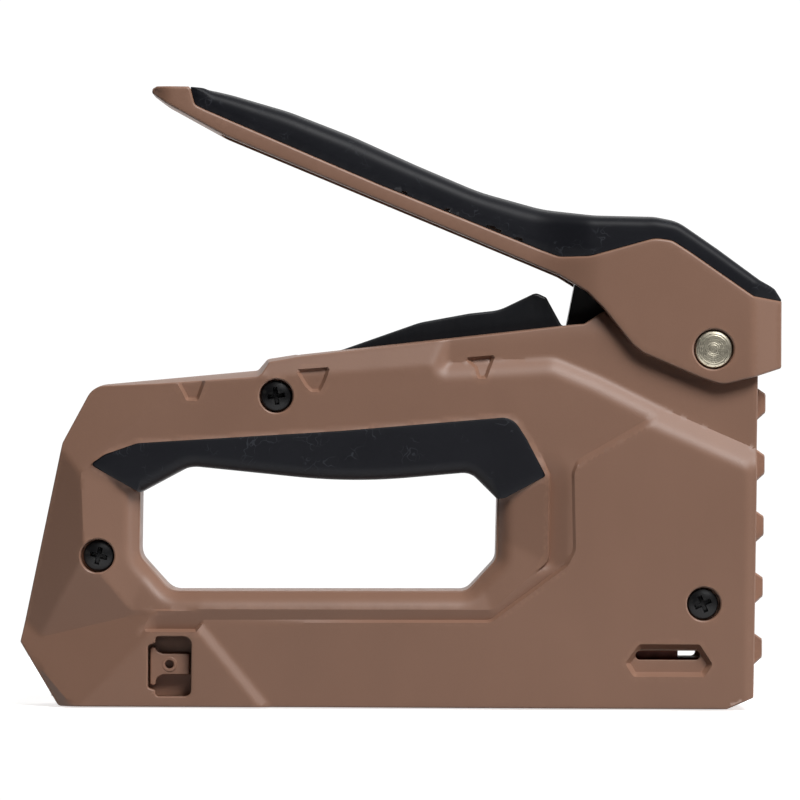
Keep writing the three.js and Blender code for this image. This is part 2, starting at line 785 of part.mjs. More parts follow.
/** Pins: the lever's rivet with its cap, the link's two pins, the arm's pin and the lifter's pin. */
function addPins() {
  const seat = CHEEK_HALF - PIVOT_SUNK + GAP;
  const pivot = [
    [0, -CHEEK_HALF + RIVET_PROUD],
    [PIVOT_HEAD_R - 0.6, -CHEEK_HALF + RIVET_PROUD],
    [PIVOT_HEAD_R, -CHEEK_HALF + 0.6],
    [PIVOT_HEAD_R, -seat],
    [PIVOT_R, -seat],
    [PIVOT_R, seat - 2 * GAP],
    [0, seat - 2 * GAP],
  ];
  add("pivot_pin", turned(pivot, PIVOT), "steel");
  const cap = [
    [0, seat - GAP],
    [PIVOT_HEAD_R, seat - GAP],
    [PIVOT_HEAD_R, CHEEK_HALF - 0.6],
    [PIVOT_HEAD_R - 0.6, CHEEK_HALF - RIVET_PROUD],
    [0, CHEEK_HALF - RIVET_PROUD],
  ];
  add("pivot_cap", turned(cap, PIVOT), "steel");
  const pins = {
    link_top_pin: [LINK_PIN_R, CHEEK_ROOM + PIN_BITE - GAP, LINK_TOP],
    link_foot_pin: [LINK_PIN_R, SLOT_HALF - 0.4, LINK_FOOT],
    arm_pin: [ARM_PIN_R, ARM_BORE - GAP, ARM_AXIS],
    lifter_pin: [LIFTER_PIN_R, LIFTER_BORE - GAP, LIFTER_AXIS],
  };
  for (const [name, [radius, half, at]] of Object.entries(pins)) {
    add(name, bar(radius, -half, half, at), "steel");
  }
}

/** The link: a folded steel channel from the lever down to the drive arm. */
function addLink() {
  const [x0, z0] = LINK_FOOT;
  const [x1, z1] = LINK_TOP;
  const length = Math.hypot(x1 - x0, z1 - z0);
  const [ux, uz] = [(x1 - x0) / length, (z1 - z0) / length];
  const half = LINK_WIDTH / 2;
  const spot = (along, across) => [x0 + ux * along + uz * across, z0 + uz * along - ux * across];
  const strap = (inset) => [
    [...spot(-half, inset - half), half * 0.7],
    [...spot(length + half, inset - half), half * 0.7],
    [...spot(length + half, half + inset), half * 0.9],
    [...spot(-half, half + inset), half * 0.9],
  ];
  const channel = plate(strap(0), -LINK_HALF, LINK_HALF)
    .subtract(
      plate(
        [spot(-9, LINK_WALL - half), spot(length + 9, LINK_WALL - half), spot(length + 9, 9), spot(-9, 9)],
        LINK_WALL - LINK_HALF,
        LINK_HALF - LINK_WALL,
      ),
    )
    .subtract(bar(LINK_PIN_R + RUN, -FAR, FAR, LINK_TOP))
    .subtract(bar(LINK_PIN_R + LINK_PLAY, -FAR, FAR, LINK_FOOT));
  add("link", channel, "black");
}

/** The drive arm: a stamped channel with a hump over its back and a foot that presses the lifter. */
function addArm() {
  const arm = plate(ARM, -ARM_HALF, ARM_HALF)
    .subtract(plate(ARM_HOLLOW, ARM_WALL - ARM_HALF, ARM_HALF - ARM_WALL))
    .subtract(bar(ARM_PIN_R + RUN, -FAR, FAR, ARM_AXIS))
    .subtract(bar(LINK_PIN_R + RUN, -FAR, FAR, LINK_FOOT));
  add("drive_arm", arm, "black");
  const wire = 0.7;
  add(
    "return_spring",
    coil({
      radius: ARM_PIN_R + RUN + wire + 0.2,
      wire,
      turns: 4,
      length: 7,
      centre: [ARM_AXIS[0], 0, ARM_AXIS[1]],
      alongY: true,
    }),
    "spring",
  );
}

/** The lifter: a rocker between the arm's foot and the plunger. */
function addLifter() {
  const rear = 180 - LIFTER_REST;
  const front = -LIFTER_REST;
  const polar = (distance, offset, base, side) => {
    const [x, z] = around(LIFTER_AXIS, distance, base);
    const lean = ((base + 90 * side) * Math.PI) / 180;
    return [x + offset * Math.cos(lean), z + offset * Math.sin(lean)];
  };
  const back = [
    polar(3.5, 3.6, rear, -1),
    polar(8, 0, rear, -1),
    polar(LIFTER_REAR, 0, rear, -1),
    polar(LIFTER_REAR + 0.8, 1.6, rear, 1),
    polar(LIFTER_REAR - 2, 3.9, rear, 1),
    polar(3, 4.6, rear, 1),
  ];
  const fore = [
    polar(1, 4.2, front, 1),
    polar(LIFTER_FRONT, LIFTER_TIP_R, front, 1),
    polar(LIFTER_FRONT, LIFTER_TIP_R, front, -1),
    polar(1, 4.2, front, -1),
  ];
  const wide = [-LIFTER_HALF, LIFTER_HALF];
  const lifter = bar(LIFTER_PIN_R + 2.2, ...wide, LIFTER_AXIS)
    .add(plate(back, ...wide))
    .add(plate(fore, ...wide))
    .add(bar(LIFTER_KNOB_R, ...wide, around(LIFTER_AXIS, LIFTER_REAR, rear)))
    .add(bar(LIFTER_TIP_R, ...wide, around(LIFTER_AXIS, LIFTER_FRONT, front)))
    .subtract(bar(LIFTER_PIN_R + RUN, -FAR, FAR, LIFTER_AXIS));
  add("lifter", lifter, "steel");
}

/** The striker: plunger, blade and the rivets between them, under the main spring and its seat. */
function addStriker() {
  const front = BLADE_BACK - GAP;
  const tipZ = around(LIFTER_AXIS, LIFTER_FRONT, -LIFTER_REST)[1];
  const window = { low: tipZ - 3.15, high: tipZ + 3.15 };
  const rivets = {
    blade_rivet_lower: (PLUNGER_FOOT + window.low) / 2,
    blade_rivet_upper: (window.high + PLUNGER_TOP - 3) / 2,
  };
  const rivetR = 1.3;
  let plunger = block([80.2, -PLUNGER_HALF, PLUNGER_FOOT], [front, PLUNGER_HALF, PLUNGER_TOP - 1])
    .add(block([74.5, -PLUNGER_HALF, PLUNGER_TOP - 3], [86.5, PLUNGER_HALF, PLUNGER_TOP]))
    .subtract(block([70, -LIFTER_HALF - 0.5, window.low], [90, LIFTER_HALF + 0.5, window.high]));
  let blade = block(
    [BLADE_BACK, -BLADE_HALF, 1.2],
    [BLADE_BACK + BLADE_THICK, BLADE_HALF, PLUNGER_TOP - 3 - GAP],
  );
  for (const [name, z] of Object.entries(rivets)) {
    const shank = rodAlongX(rivetR, 0, 80.5, BLADE_BACK + BLADE_THICK + 0.7, z, 12);
    const bore = rodAlongX(rivetR + GAP, 0, 70, 95, z, 12);
    plunger = plunger.subtract(bore);
    blade = blade.subtract(bore);
    add(name, shank, "steel");
  }
  add("plunger", plunger, "steel");
  add("driver_blade", blade, "steel");
  const low = PLUNGER_TOP + GAP + SPRING_WIRE;
  const high = SEAT_UNDER - GAP - SPRING_WIRE;
  const centre = [SPRING_X, 0, (low + high) / 2];
  add(
    "main_spring",
    coil({ radius: SPRING_R, wire: SPRING_WIRE, turns: SPRING_TURNS, length: high - low, centre }),
    "spring",
  );
  const seat = block([73.5, -BAR_ROOM + GAP, SEAT_UNDER], [FRONT_WALL - GAP, BAR_ROOM - GAP, 90.8 - GAP]);
  add("spring_seat", seat, "steel");
}

/** The magazine: tray, rail, end cap and cross pin, with the pusher on its rod and spring. */
function addMagazine() {
  const inner = TRAY_HALF - TRAY_WALL;
  const tray = block([CAP_FRONT + GAP, -TRAY_HALF, TRAY_FLOOR], [TRAY_FRONT, TRAY_HALF, TRAY_TOP]).subtract(
    block([CAP_FRONT - 5, -inner, TRAY_FLOOR + TRAY_WALL], [TRAY_FRONT + 5, inner, TRAY_TOP + 5]),
  );
  add("magazine_tray", tray, "steel");

  const railRear = CAP_FRONT - 8;
  const railFoot = TRAY_FLOOR + TRAY_WALL + GAP;
  const hollow = RAIL_HALF - RAIL_WALL;
  const crossPin = [CAP_FRONT - 4.5, 4.4];
  const rail = block([railRear, -RAIL_HALF, railFoot], [RAIL_FRONT, RAIL_HALF, RAIL_TOP])
    .subtract(block([railRear - 5, -hollow, 0], [RAIL_FRONT - RAIL_WALL, hollow, RAIL_TOP - RAIL_WALL]))
    .subtract(block([-60, -TAB_HALF - GAP, RAIL_TOP - 3], [80, TAB_HALF + GAP, RAIL_TOP + 3]))
    .subtract(bar(CAP_PIN_R + GAP, -FAR, FAR, crossPin, 12));
  add("staple_rail", rail, "steel");

  const cap = plate(
    [
      [CAP_FRONT, 0.8],
      [-91.9, 0.8],
      [-101.5, 16],
      [-101.1, 19],
      [-88, 19],
      [CAP_FRONT, 17],
    ],
    -TUNNEL_HALF + GAP,
    TUNNEL_HALF - GAP,
  )
    .subtract(block([railRear - GAP, -RAIL_HALF - GAP, 2], [FAR, RAIL_HALF + GAP, RAIL_TOP + GAP]))
    .subtract(bar(CAP_PIN_R + GAP, -FAR, FAR, crossPin, 12));
  add("magazine_end_cap", cap, "tan");
  add("cap_pin", bar(CAP_PIN_R, 0.4 - TUNNEL_HALF, TUNNEL_HALF - 0.4, crossPin, 12), "steel");

  const tab = RAIL_TOP + GAP;
  const pusher = block([PUSHER_REAR, 0.1 - TRAY_HALF, TRAY_TOP + GAP], [PUSHER_FRONT, TRAY_HALF - 0.1, 17])
    .add(block([PUSHER_REAR, GAP - inner, tab], [RAIL_FRONT - 0.8, inner - GAP, TRAY_TOP + 0.9]))
    .add(block([PUSHER_REAR, -TAB_HALF, ROD_Z - 3], [PUSHER_REAR + 3, TAB_HALF, tab + 0.5]))
    .subtract(rodAlongX(ROD_R + GAP, 0, 40, 70, ROD_Z, 10));
  add("pusher", pusher, "rust");
  add("pusher_rod", rodAlongX(ROD_R, 0, railRear + 1, RAIL_FRONT - RAIL_WALL - GAP, ROD_Z, 10), "steel");
  add("pusher_spring", rodAlongX(2.6, 1.5, CAP_FRONT + 2, PUSHER_REAR - GAP, ROD_Z, 12), "spring");
}

/** The two latch buttons that free the magazine, each with the spring behind it. */
function addLatches() {
  const [x, z] = LATCH_AXIS;
  for (const [name, side] of [
    ["right", -1],
    ["left", 1],
  ]) {
    const span = (near, far) => (side < 0 ? [-far, -near] : [near, far]);
    const barLow = z - 2.9;
    const box = ([near, far], x0, x1, z0, z1) => block([x0, near, z0], [x1, far, z1]);
    const button = box(span(11, LATCH_OUT), -66.9, -56.4, barLow, barLow + 5.8)
      .add(box(span(10, NOSE_ROOM - 1.2), -65.5, -54.4, 4.6, 18))
      .add(bar(2.15, ...span(11, LATCH_OUT + 0.9), LATCH_AXIS, 14))
      .subtract(bar(1.1, ...span(12, FAR), LATCH_AXIS, 12));
    add(`latch_button_${name}`, button, "tan");
    const wire = 0.3;
    const [low, high] = span(TRAY_HALF + 0.4 + wire, 10 - GAP - wire);
    add(
      `latch_spring_${name}`,
      coil({
        radius: 2,
        wire,
        turns: 3,
        length: high - low,
        centre: [x, (low + high) / 2, z],
        alongY: true,
        sides: 4,
      }),
      "spring",
    );
  }
}

addHousing();
addBodyGrips();
addNose();
addLever();
addPins();
addLink();
addArm();
addLifter();
addStriker();
addMagazine();
addLatches();

export default root;
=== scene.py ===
"""Looks of a heavy-duty hand staple gun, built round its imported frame."""

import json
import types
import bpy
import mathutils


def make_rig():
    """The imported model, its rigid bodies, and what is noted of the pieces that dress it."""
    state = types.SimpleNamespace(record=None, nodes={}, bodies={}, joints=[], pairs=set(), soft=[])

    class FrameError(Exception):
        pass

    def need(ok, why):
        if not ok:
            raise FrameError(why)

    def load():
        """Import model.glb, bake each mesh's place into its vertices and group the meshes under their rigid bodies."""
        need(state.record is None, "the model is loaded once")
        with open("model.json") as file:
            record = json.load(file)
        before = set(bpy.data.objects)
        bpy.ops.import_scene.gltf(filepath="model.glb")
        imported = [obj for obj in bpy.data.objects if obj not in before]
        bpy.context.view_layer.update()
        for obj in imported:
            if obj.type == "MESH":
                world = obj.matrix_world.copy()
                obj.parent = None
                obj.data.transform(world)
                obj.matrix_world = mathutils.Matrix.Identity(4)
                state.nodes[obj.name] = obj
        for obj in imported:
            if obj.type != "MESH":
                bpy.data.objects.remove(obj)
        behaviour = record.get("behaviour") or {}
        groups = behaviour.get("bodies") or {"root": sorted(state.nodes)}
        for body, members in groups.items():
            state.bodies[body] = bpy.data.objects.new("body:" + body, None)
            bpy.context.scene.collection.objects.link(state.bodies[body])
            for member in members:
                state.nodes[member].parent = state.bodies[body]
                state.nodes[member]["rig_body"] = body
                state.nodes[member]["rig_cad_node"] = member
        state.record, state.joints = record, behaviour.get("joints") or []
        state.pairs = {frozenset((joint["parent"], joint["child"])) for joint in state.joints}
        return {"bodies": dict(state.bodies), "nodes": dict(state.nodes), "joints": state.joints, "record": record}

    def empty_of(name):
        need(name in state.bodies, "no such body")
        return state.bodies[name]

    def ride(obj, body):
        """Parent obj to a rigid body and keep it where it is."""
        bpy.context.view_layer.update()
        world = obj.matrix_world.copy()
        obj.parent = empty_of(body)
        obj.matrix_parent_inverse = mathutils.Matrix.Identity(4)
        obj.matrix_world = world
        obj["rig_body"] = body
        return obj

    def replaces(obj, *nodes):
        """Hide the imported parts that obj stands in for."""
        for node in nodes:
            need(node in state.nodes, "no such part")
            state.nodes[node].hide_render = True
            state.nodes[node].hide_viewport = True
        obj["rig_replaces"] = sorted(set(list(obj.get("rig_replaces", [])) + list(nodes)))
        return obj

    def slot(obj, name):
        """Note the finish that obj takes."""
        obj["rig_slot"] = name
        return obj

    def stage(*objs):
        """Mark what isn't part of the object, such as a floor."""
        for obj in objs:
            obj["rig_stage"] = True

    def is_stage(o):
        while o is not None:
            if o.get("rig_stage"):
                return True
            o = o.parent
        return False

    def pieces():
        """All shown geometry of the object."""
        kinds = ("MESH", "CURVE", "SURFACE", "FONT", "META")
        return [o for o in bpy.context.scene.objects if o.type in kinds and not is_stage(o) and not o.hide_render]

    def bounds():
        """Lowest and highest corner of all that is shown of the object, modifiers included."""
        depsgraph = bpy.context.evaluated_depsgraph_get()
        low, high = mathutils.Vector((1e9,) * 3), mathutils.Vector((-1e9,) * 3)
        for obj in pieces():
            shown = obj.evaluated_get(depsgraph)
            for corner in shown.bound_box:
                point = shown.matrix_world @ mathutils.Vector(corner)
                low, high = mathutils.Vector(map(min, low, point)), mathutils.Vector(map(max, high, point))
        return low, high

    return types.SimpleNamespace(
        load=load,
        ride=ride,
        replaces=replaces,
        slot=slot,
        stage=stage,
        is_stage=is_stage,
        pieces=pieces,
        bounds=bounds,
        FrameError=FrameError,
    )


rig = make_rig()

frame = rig.load()

import json
import logging
import math
from collections.abc import Callable, Sequence
from dataclasses import dataclass, field
from enum import Enum
from pathlib import Path

import bmesh
import bpy
import numpy as np
from mathutils import Vector
from mathutils.geometry import delaunay_2d_cdt
from mathutils.kdtree import KDTree

MM = 0.001
HALF_GAP = 0.15  # each shell's mating face from the middle, mm
RIB_COUNT = 5
RIB_LOWEST = 11.2  # z of the lowest nose rib, mm
RIB_PITCH = 16.5  # mm
RIB_HALF = 7.2  # half width of a rib's full part, mm
RIB_TAPER = 0.6  # length of a rib's tapered end, mm
RIB_END_SHARE = 0.86
NOSE_FACE = 95.15  # x of the nose at the floor, mm
NOSE_LEAN = 0.0105  # how much further forward for each mm up
RIB_PROFILE = (
    (-1.5, 0.2),
    (0, 0.2),
    (2.3, 2.3),
    (2.45, 2.9),
    (2.45, 6.9),
    (2.3, 7.5),
    (0, 9.1),
    (-1.5, 9.1),
)
SIZE_FILE = Path("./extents.json")
CAD_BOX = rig.bounds()

log = logging.getLogger("stapler")

Corner = tuple[float, ...]
Points = np.ndarray


# ---------------------------------------------------------------- outlines


def outline(corners: Sequence[Corner], step: float = 0.9) -> Points:
    """A closed outline with rounded corners, as evenly spaced points running anticlockwise.

    Args:
        corners: (x, z) or (x, z, radius) in mm.
        step: the longest distance between neighbouring points, in mm.

    Returns:
        The points, one row each.
    """
    bare = np.array([c[:2] for c in corners], float)
    made: list[np.ndarray] = []
    for i, here in enumerate(bare):
        back = bare[i - 1] - here
        on = bare[(i + 1) % len(bare)] - here
        lb, lo = np.hypot(*back), np.hypot(*on)
        turn = math.acos(float(np.clip(back @ on / lb / lo, -1, 1)))
        radius = corners[i][2] if len(corners[i]) > 2 else 0.0
        if radius <= 0 or math.pi - turn < 0.01:
            made.append(here[None])
            continue
        reach = min(radius / math.tan(turn / 2), 0.48 * min(lb, lo))
        radius = reach * math.tan(turn / 2)
        b, o = back / lb, on / lo
        middle = (b + o) / np.hypot(*(b + o))
        centre = here + middle * radius / math.sin(turn / 2)
        start, end = here + b * reach - centre, here + o * reach - centre
        a0 = math.atan2(start[1], start[0])
        sweep = math.atan2(end[1], end[0]) - a0
        sweep -= 2 * math.pi * round(sweep / 2 / math.pi)
        count = max(3, math.ceil(abs(sweep) * radius / step), math.ceil(abs(sweep) / 0.2))
        a = a0 + sweep * np.linspace(0, 1, count + 1)
        made.append(centre + radius * np.column_stack([np.cos(a), np.sin(a)]))
    points = dense(np.vstack(made), step, closed=True)
    x, z = points.T
    area = np.sum(x * np.roll(z, -1) - np.roll(x, -1) * z)
    return points if area > 0 else points[::-1].copy()


def outline_run(corners: Sequence[Corner]) -> Points:
    """The bare corners of a run of (x, z) or (x, z, radius) corners."""
    return np.array([c[:2] for c in corners], float)


def dense(points: Points, step: float, closed: bool = False) -> Points:
    """The same run of points with no gap longer than step."""
    ends = np.roll(points, -1, axis=0) if closed else points[1:]
    starts = points if closed else points[:-1]
    made = []
    for a, b in zip(starts, ends):
        count = max(1, math.ceil(np.hypot(*(b - a)) / step - 1e-6))
        made.append(a + (b - a) * (np.arange(count) / count)[:, None])
    if not closed:
        made.append(points[-1:])
    made_points = np.vstack(made)
    if not closed:
        return made_points
    far = np.hypot(*(made_points - np.roll(made_points, 1, axis=0)).T) > 1e-3
    return made_points[far]


def runs_of(points: Points, wanted: np.ndarray) -> list[Points]:
    """The unbroken stretches of a run of points that are wanted."""
    made: list[Points] = []
    start = None
    for i, ok in enumerate([*wanted, False]):
        if ok and start is None:
            start = i
        if not ok and start is not None:
            if i - start > 1:
                made.append(points[start:i])
            start = None
    return made


def normals(loop: Points) -> Points:
    """Outward unit normals of an anticlockwise loop, lengthened at corners as a mitre is."""
    on = np.roll(loop, -1, axis=0) - loop
    on /= np.hypot(*on.T)[:, None]
    edge = np.column_stack([on[:, 1], -on[:, 0]])
    both = edge + np.roll(edge, 1, axis=0)
    both /= np.hypot(*both.T)[:, None]
    lean = np.clip(np.sum(both * edge, axis=1), 0.5, 1)
    return both / lean[:, None]


def distance(points: Points, line: Points, closed: bool = True) -> np.ndarray:
    """How far each point is from a run of points; inside a closed loop it is positive.

    Args:
        points: the points asked about.
        line: the run of points.
        closed: whether the run closes on itself.

    Returns:
        One distance for each point, in mm.
    """
    a = line if closed else line[:-1]
    b = np.roll(line, -1, axis=0) if closed else line[1:]
    best = np.full(len(points), 1e9)
    inside = np.zeros(len(points), bool)
    x, z = points.T
    for (ax, az), (bx, bz) in zip(a, b):
        dx, dz = bx - ax, bz - az
        t = np.clip(((x - ax) * dx + (z - az) * dz) / (dx * dx + dz * dz), 0, 1)
        best = np.minimum(best, np.hypot(x - ax - t * dx, z - az - t * dz))
        if closed and az != bz:
            crossing = (az > z) != (bz > z)
            inside ^= crossing & (x < ax + dx * (z - az) / dz)
    return np.where(inside, best, -best) if closed else best


def plane(a: Corner, b: Corner, c: Corner) -> Callable[[Points], np.ndarray]:
    """The flat surface through three (x, z, half width) points, as a function of place."""
    system = np.array([[p[0], p[1], 1.0] for p in (a, b, c)])
    sx, sz, s0 = np.linalg.solve(system, np.array([a[2], b[2], c[2]]))
    return lambda p: sx * p[:, 0] + sz * p[:, 1] + s0


def level_plane(height: float) -> Callable[[Points], np.ndarray]:
    """The surface of one half width everywhere."""
    return lambda p: np.full(len(p), height)


def meeting(f: Callable, g: Callable, start: Corner, end: Corner) -> Points:
    """The line where two flat surfaces are as high as each other, near a start and an end."""
    line = dense(np.array([start, end], float), 1.0)
    unit = 1e-3
    for _ in range(3):
        gap = f(line) - g(line)
        slope = np.column_stack(
            [(f(line + step) - g(line + step) - gap) / unit for step in ((unit, 0), (0, unit))]
        )
        line = line - slope * (gap / np.sum(slope**2, axis=1))[:, None]
    return line


def smooth_min(a: np.ndarray, b: np.ndarray, k: float) -> np.ndarray:
    """The lower of two surfaces with their meeting line rounded over about k mm."""
    h = np.clip(0.5 + 0.5 * (b - a) / k, 0, 1)
    return b + (a - b) * h - k * h * (1 - h)


def band_quads(rows: int, count: int) -> list[tuple[int, ...]]:
    """The faces between rows of points that each run once round."""
    return [
        (k * count + j, k * count + (j + 1) % count, (k + 1) * count + (j + 1) % count, (k + 1) * count + j)
        for k in range(rows - 1)
        for j in range(count)
    ]


def ease(t: np.ndarray) -> np.ndarray:
    """0 to 1 with level ends."""
    t = np.clip(t, 0, 1)
    return t * t * (3 - 2 * t)


# ---------------------------------------------------------------- surfaces from a side view


@dataclass
class Rim:
    """An edge that turns a side face inwards: a rounded corner, then a straight or crowned wall.

    Attributes:
        loop: the outermost line of the wall, anticlockwise.
        end: the half width where the wall stops, for each point or for all.
        round: radius of the rounded corner, for each point or for all.
        crown: how far the wall bulges out between the side face and the middle.
        hole: whether the loop bounds a hole.
        steps: rows of faces across the rounding.
    """

    loop: Points
    end: np.ndarray | float = HALF_GAP
    round: np.ndarray | float = 0.8
    crown: np.ndarray | float = 0.0
    hole: bool = False
    steps: int = 4

    def spread(self) -> tuple[Points, np.ndarray, np.ndarray]:
        """The way out of the material, the crown and the end at each point of the loop."""
        way = normals(self.loop) * (-1 if self.hole else 1)
        count = len(self.loop)
        return way, np.broadcast_to(self.crown, count), np.broadcast_to(self.end, count)

    def face_line(self) -> Points:
        """The line where the side face ends and the rounding begins."""
        way, crown, _ = self.spread()
        return self.loop - way * (self.round + crown)[:, None]

    def rows(self, height: np.ndarray) -> list[np.ndarray]:
        """Rows of (x, half width, z) from the side face to the wall's end.

        Args:
            height: the side face's half width at each point of face_line().

        Returns:
            Rows of points, each as long as the loop.
        """
        way, crown, end = self.spread()
        made = []

        def row(out: np.ndarray, y: np.ndarray) -> None:
            """Adds one row, so far out from the rim's own line and at these half widths."""
            flat = self.loop + way * (out - self.round - crown)[:, None]
            made.append(np.column_stack([flat[:, 0], y, flat[:, 1]]))

        for a in np.linspace(0, math.pi / 2, self.steps + 1):
            row(np.full(len(height), self.round * math.sin(a)), height - self.round * (1 - math.cos(a)))
        top = height - self.round
        walls = 9 if np.max(crown) > 0.2 else 2
        for t in np.linspace(0, 1, walls)[1:]:
            y = top + (end - top) * t
            row(self.round + crown * (1 - (y / top) ** 2), y)
        return made


@dataclass
class Relief:
    """Half of a moulding, seen from the side: an outer face, its rims and an inner face.

    Attributes:
        rims: the outer rim first, then one for each hole.
        outer: half width of the outer face at each place.
        inner: half width of the inner face at each place.
        creases: lines that the outer face keeps sharp.
        grain: distance between the points of the outer face, in mm.
        coarse: the same for the inner face.
    """

    rims: list[Rim]
    outer: Callable[[Points], np.ndarray]
    inner: Callable[[Points], np.ndarray] | None = None
    creases: list[Points] = field(default_factory=list)
    inner_creases: list[Points] = field(default_factory=list)
    grain: float = 1.0
    coarse: float = 3.0

    def faces(self) -> tuple[np.ndarray, list[tuple[int, ...]]]:
        """All corner points, as (x, half width, z) in mm, and the faces between them."""
        points: list[np.ndarray] = []
        faces: list[tuple[int, ...]] = []

        def take(new_points: np.ndarray, new_faces: Sequence[Sequence[int]]) -> None:
            """Adds a mesh to the ones joined so far."""
            first = sum(len(p) for p in points)
            points.append(new_points)
            faces.extend(tuple(int(i) + first for i in f) for f in new_faces)

        lines = [rim.face_line() for rim in self.rims]
        flat, triangles = sheet(lines, self.creases, self.grain)
        take(np.column_stack([flat[:, 0], self.outer(flat), flat[:, 1]]), triangles)
        ends = []
        for rim, line in zip(self.rims, lines):
            rows = rim.rows(self.outer(line))
            count = len(line)
            ring = [(i, (i + 1) % count) for i in range(count)]
            quads = [
                (k * count + i, k * count + j, (k + 1) * count + j, (k + 1) * count + i)
                for k in range(len(rows) - 1)
                for i, j in ring
            ]
            take(np.vstack(rows), quads)
            ends.append(rows[-1])
        if self.inner is not None:
            loops = [e[:, [0, 2]] for e in ends]
            flat, triangles = sheet(loops, self.inner_creases, self.coarse)
            depth = self.inner(flat)
            for end in ends:
                tree = KDTree(len(end))
                for i, p in enumerate(end):
                    tree.insert((p[0], 0, p[2]), i)
                tree.balance()
                for k, (x, z) in enumerate(flat):
                    _, i, gap = tree.find((x, 0, z))
                    if gap < 1e-3:
                        depth[k] = end[i][1]
            take(np.column_stack([flat[:, 0], depth, flat[:, 1]]), triangles)
        return np.vstack(points), faces


def sheet(loops: list[Points], creases: list[Points], grain: float) -> tuple[Points, list]:
    """Triangles that fill the first loop but not the others, with the creases as edges.

    Args:
        loops: the outside and the holes.
        creases: open lines inside.
        grain: spacing of the points that fill the face.

    Returns:
        The points and the triangles.
    """
    points: list[np.ndarray] = []
    edges: list[tuple[int, int]] = []
    for line, closed in [(loop, True) for loop in loops] + [(c, False) for c in creases]:
        first = sum(len(p) for p in points)
        count = len(line)
        points.append(line)
        edges += [(first + i, first + i + 1) for i in range(count - 1)]
        if closed:
            edges.append((first + count - 1, first))
    fixed = np.vstack(points)
    low, high = loops[0].min(0), loops[0].max(0)
    xs = np.arange(low[0], high[0], grain)
    zs = np.arange(low[1], high[1], grain * 0.87)
    gx, gz = np.meshgrid(xs, zs)
    gx = gx + (np.arange(len(zs)) % 2)[:, None] * grain / 2
    fill = np.column_stack([gx.ravel(), gz.ravel()])
    inside = distance(fill, loops[0]) > grain * 0.4
    for hole in loops[1:]:
        inside &= distance(fill, hole) < -grain * 0.4
    fill = fill[inside]
    tree = KDTree(len(fixed))
    for i, (x, z) in enumerate(fixed):
        tree.insert((x, z, 0), i)
    tree.balance()
    clear = [tree.find((x, z, 0))[2] > grain * 0.55 for x, z in fill]
    every = np.vstack([fixed, fill[np.array(clear, bool)]]) if len(fill) else fixed
    cut = delaunay_2d_cdt([Vector(p) for p in every], edges, [], 0, 1e-5)
    flat = np.array([tuple(v) for v in cut[0]])
    triangles = np.array([f for f in cut[2] if len(f) == 3])
    centres = flat[triangles].mean(1)
    keep = distance(centres, loops[0]) > 0
    for hole in loops[1:]:
        keep &= distance(centres, hole) < 0
    return flat, [tuple(t) for t in triangles[keep]]


class Side(Enum):
    """Which side of the middle a piece is on: the right side is towards negative Y."""

    RIGHT = -1
    LEFT = 1
    BOTH = 0


def mesh_object(
    name: str,
    parts: Sequence[tuple[np.ndarray, Sequence[Sequence[int]]]],
    sharp: float = 32.0,
    weld: float = 0.002,
) -> bpy.types.Object:
    """A smooth-shaded object from points in mm and faces, with its creases kept sharp.

    Args:
        name: the piece's name.
        parts: (points, faces) pairs, joined into one mesh.
        sharp: edges that turn by more than this many degrees stay crisp.
        weld: points closer than this, in mm, become one.

    Returns:
        The new object, linked to the scene.
    """
    bm = bmesh.new()
    for points, faces in parts:
        made = [bm.verts.new(p) for p in points]
        for face in faces:
            corners = list(dict.fromkeys(face))
            if len(corners) < 3:
                continue
            try:
                bm.faces.new([made[i] for i in corners])
            except ValueError:
                continue
    bmesh.ops.remove_doubles(bm, verts=bm.verts, dist=weld)
    bmesh.ops.dissolve_degenerate(bm, edges=bm.edges, dist=weld / 4)
    loose = [v for v in bm.verts if not v.link_faces]
    bmesh.ops.delete(bm, geom=loose, context="VERTS")
    bmesh.ops.recalc_face_normals(bm, faces=bm.faces)
    bmesh.ops.scale(bm, vec=(MM, MM, MM), verts=bm.verts)
    mesh = bpy.data.meshes.new(name)
    bm.to_mesh(mesh)
    bm.free()
    mesh.shade_smooth()
    mesh.set_sharp_from_angle(angle=math.radians(sharp))
    made_object = bpy.data.objects.new(name, mesh)
    bpy.context.scene.collection.objects.link(made_object)
    return made_object


def sided(
    faces: tuple[np.ndarray, list], side: Side
) -> list[tuple[np.ndarray, list]]:
    """A half moulding put on its side of the middle, or on both."""
    points, corners = faces
    if side is Side.BOTH:
        middle = np.abs(points[:, 1]) < 0.01
        corners = [face for face in corners if not all(middle[i] for i in face)]
    flips = [-1, 1] if side is Side.BOTH else [side.value]
    return [(points * np.array([1, flip, 1]), corners) for flip in flips]


# ---------------------------------------------------------------- shader expressions


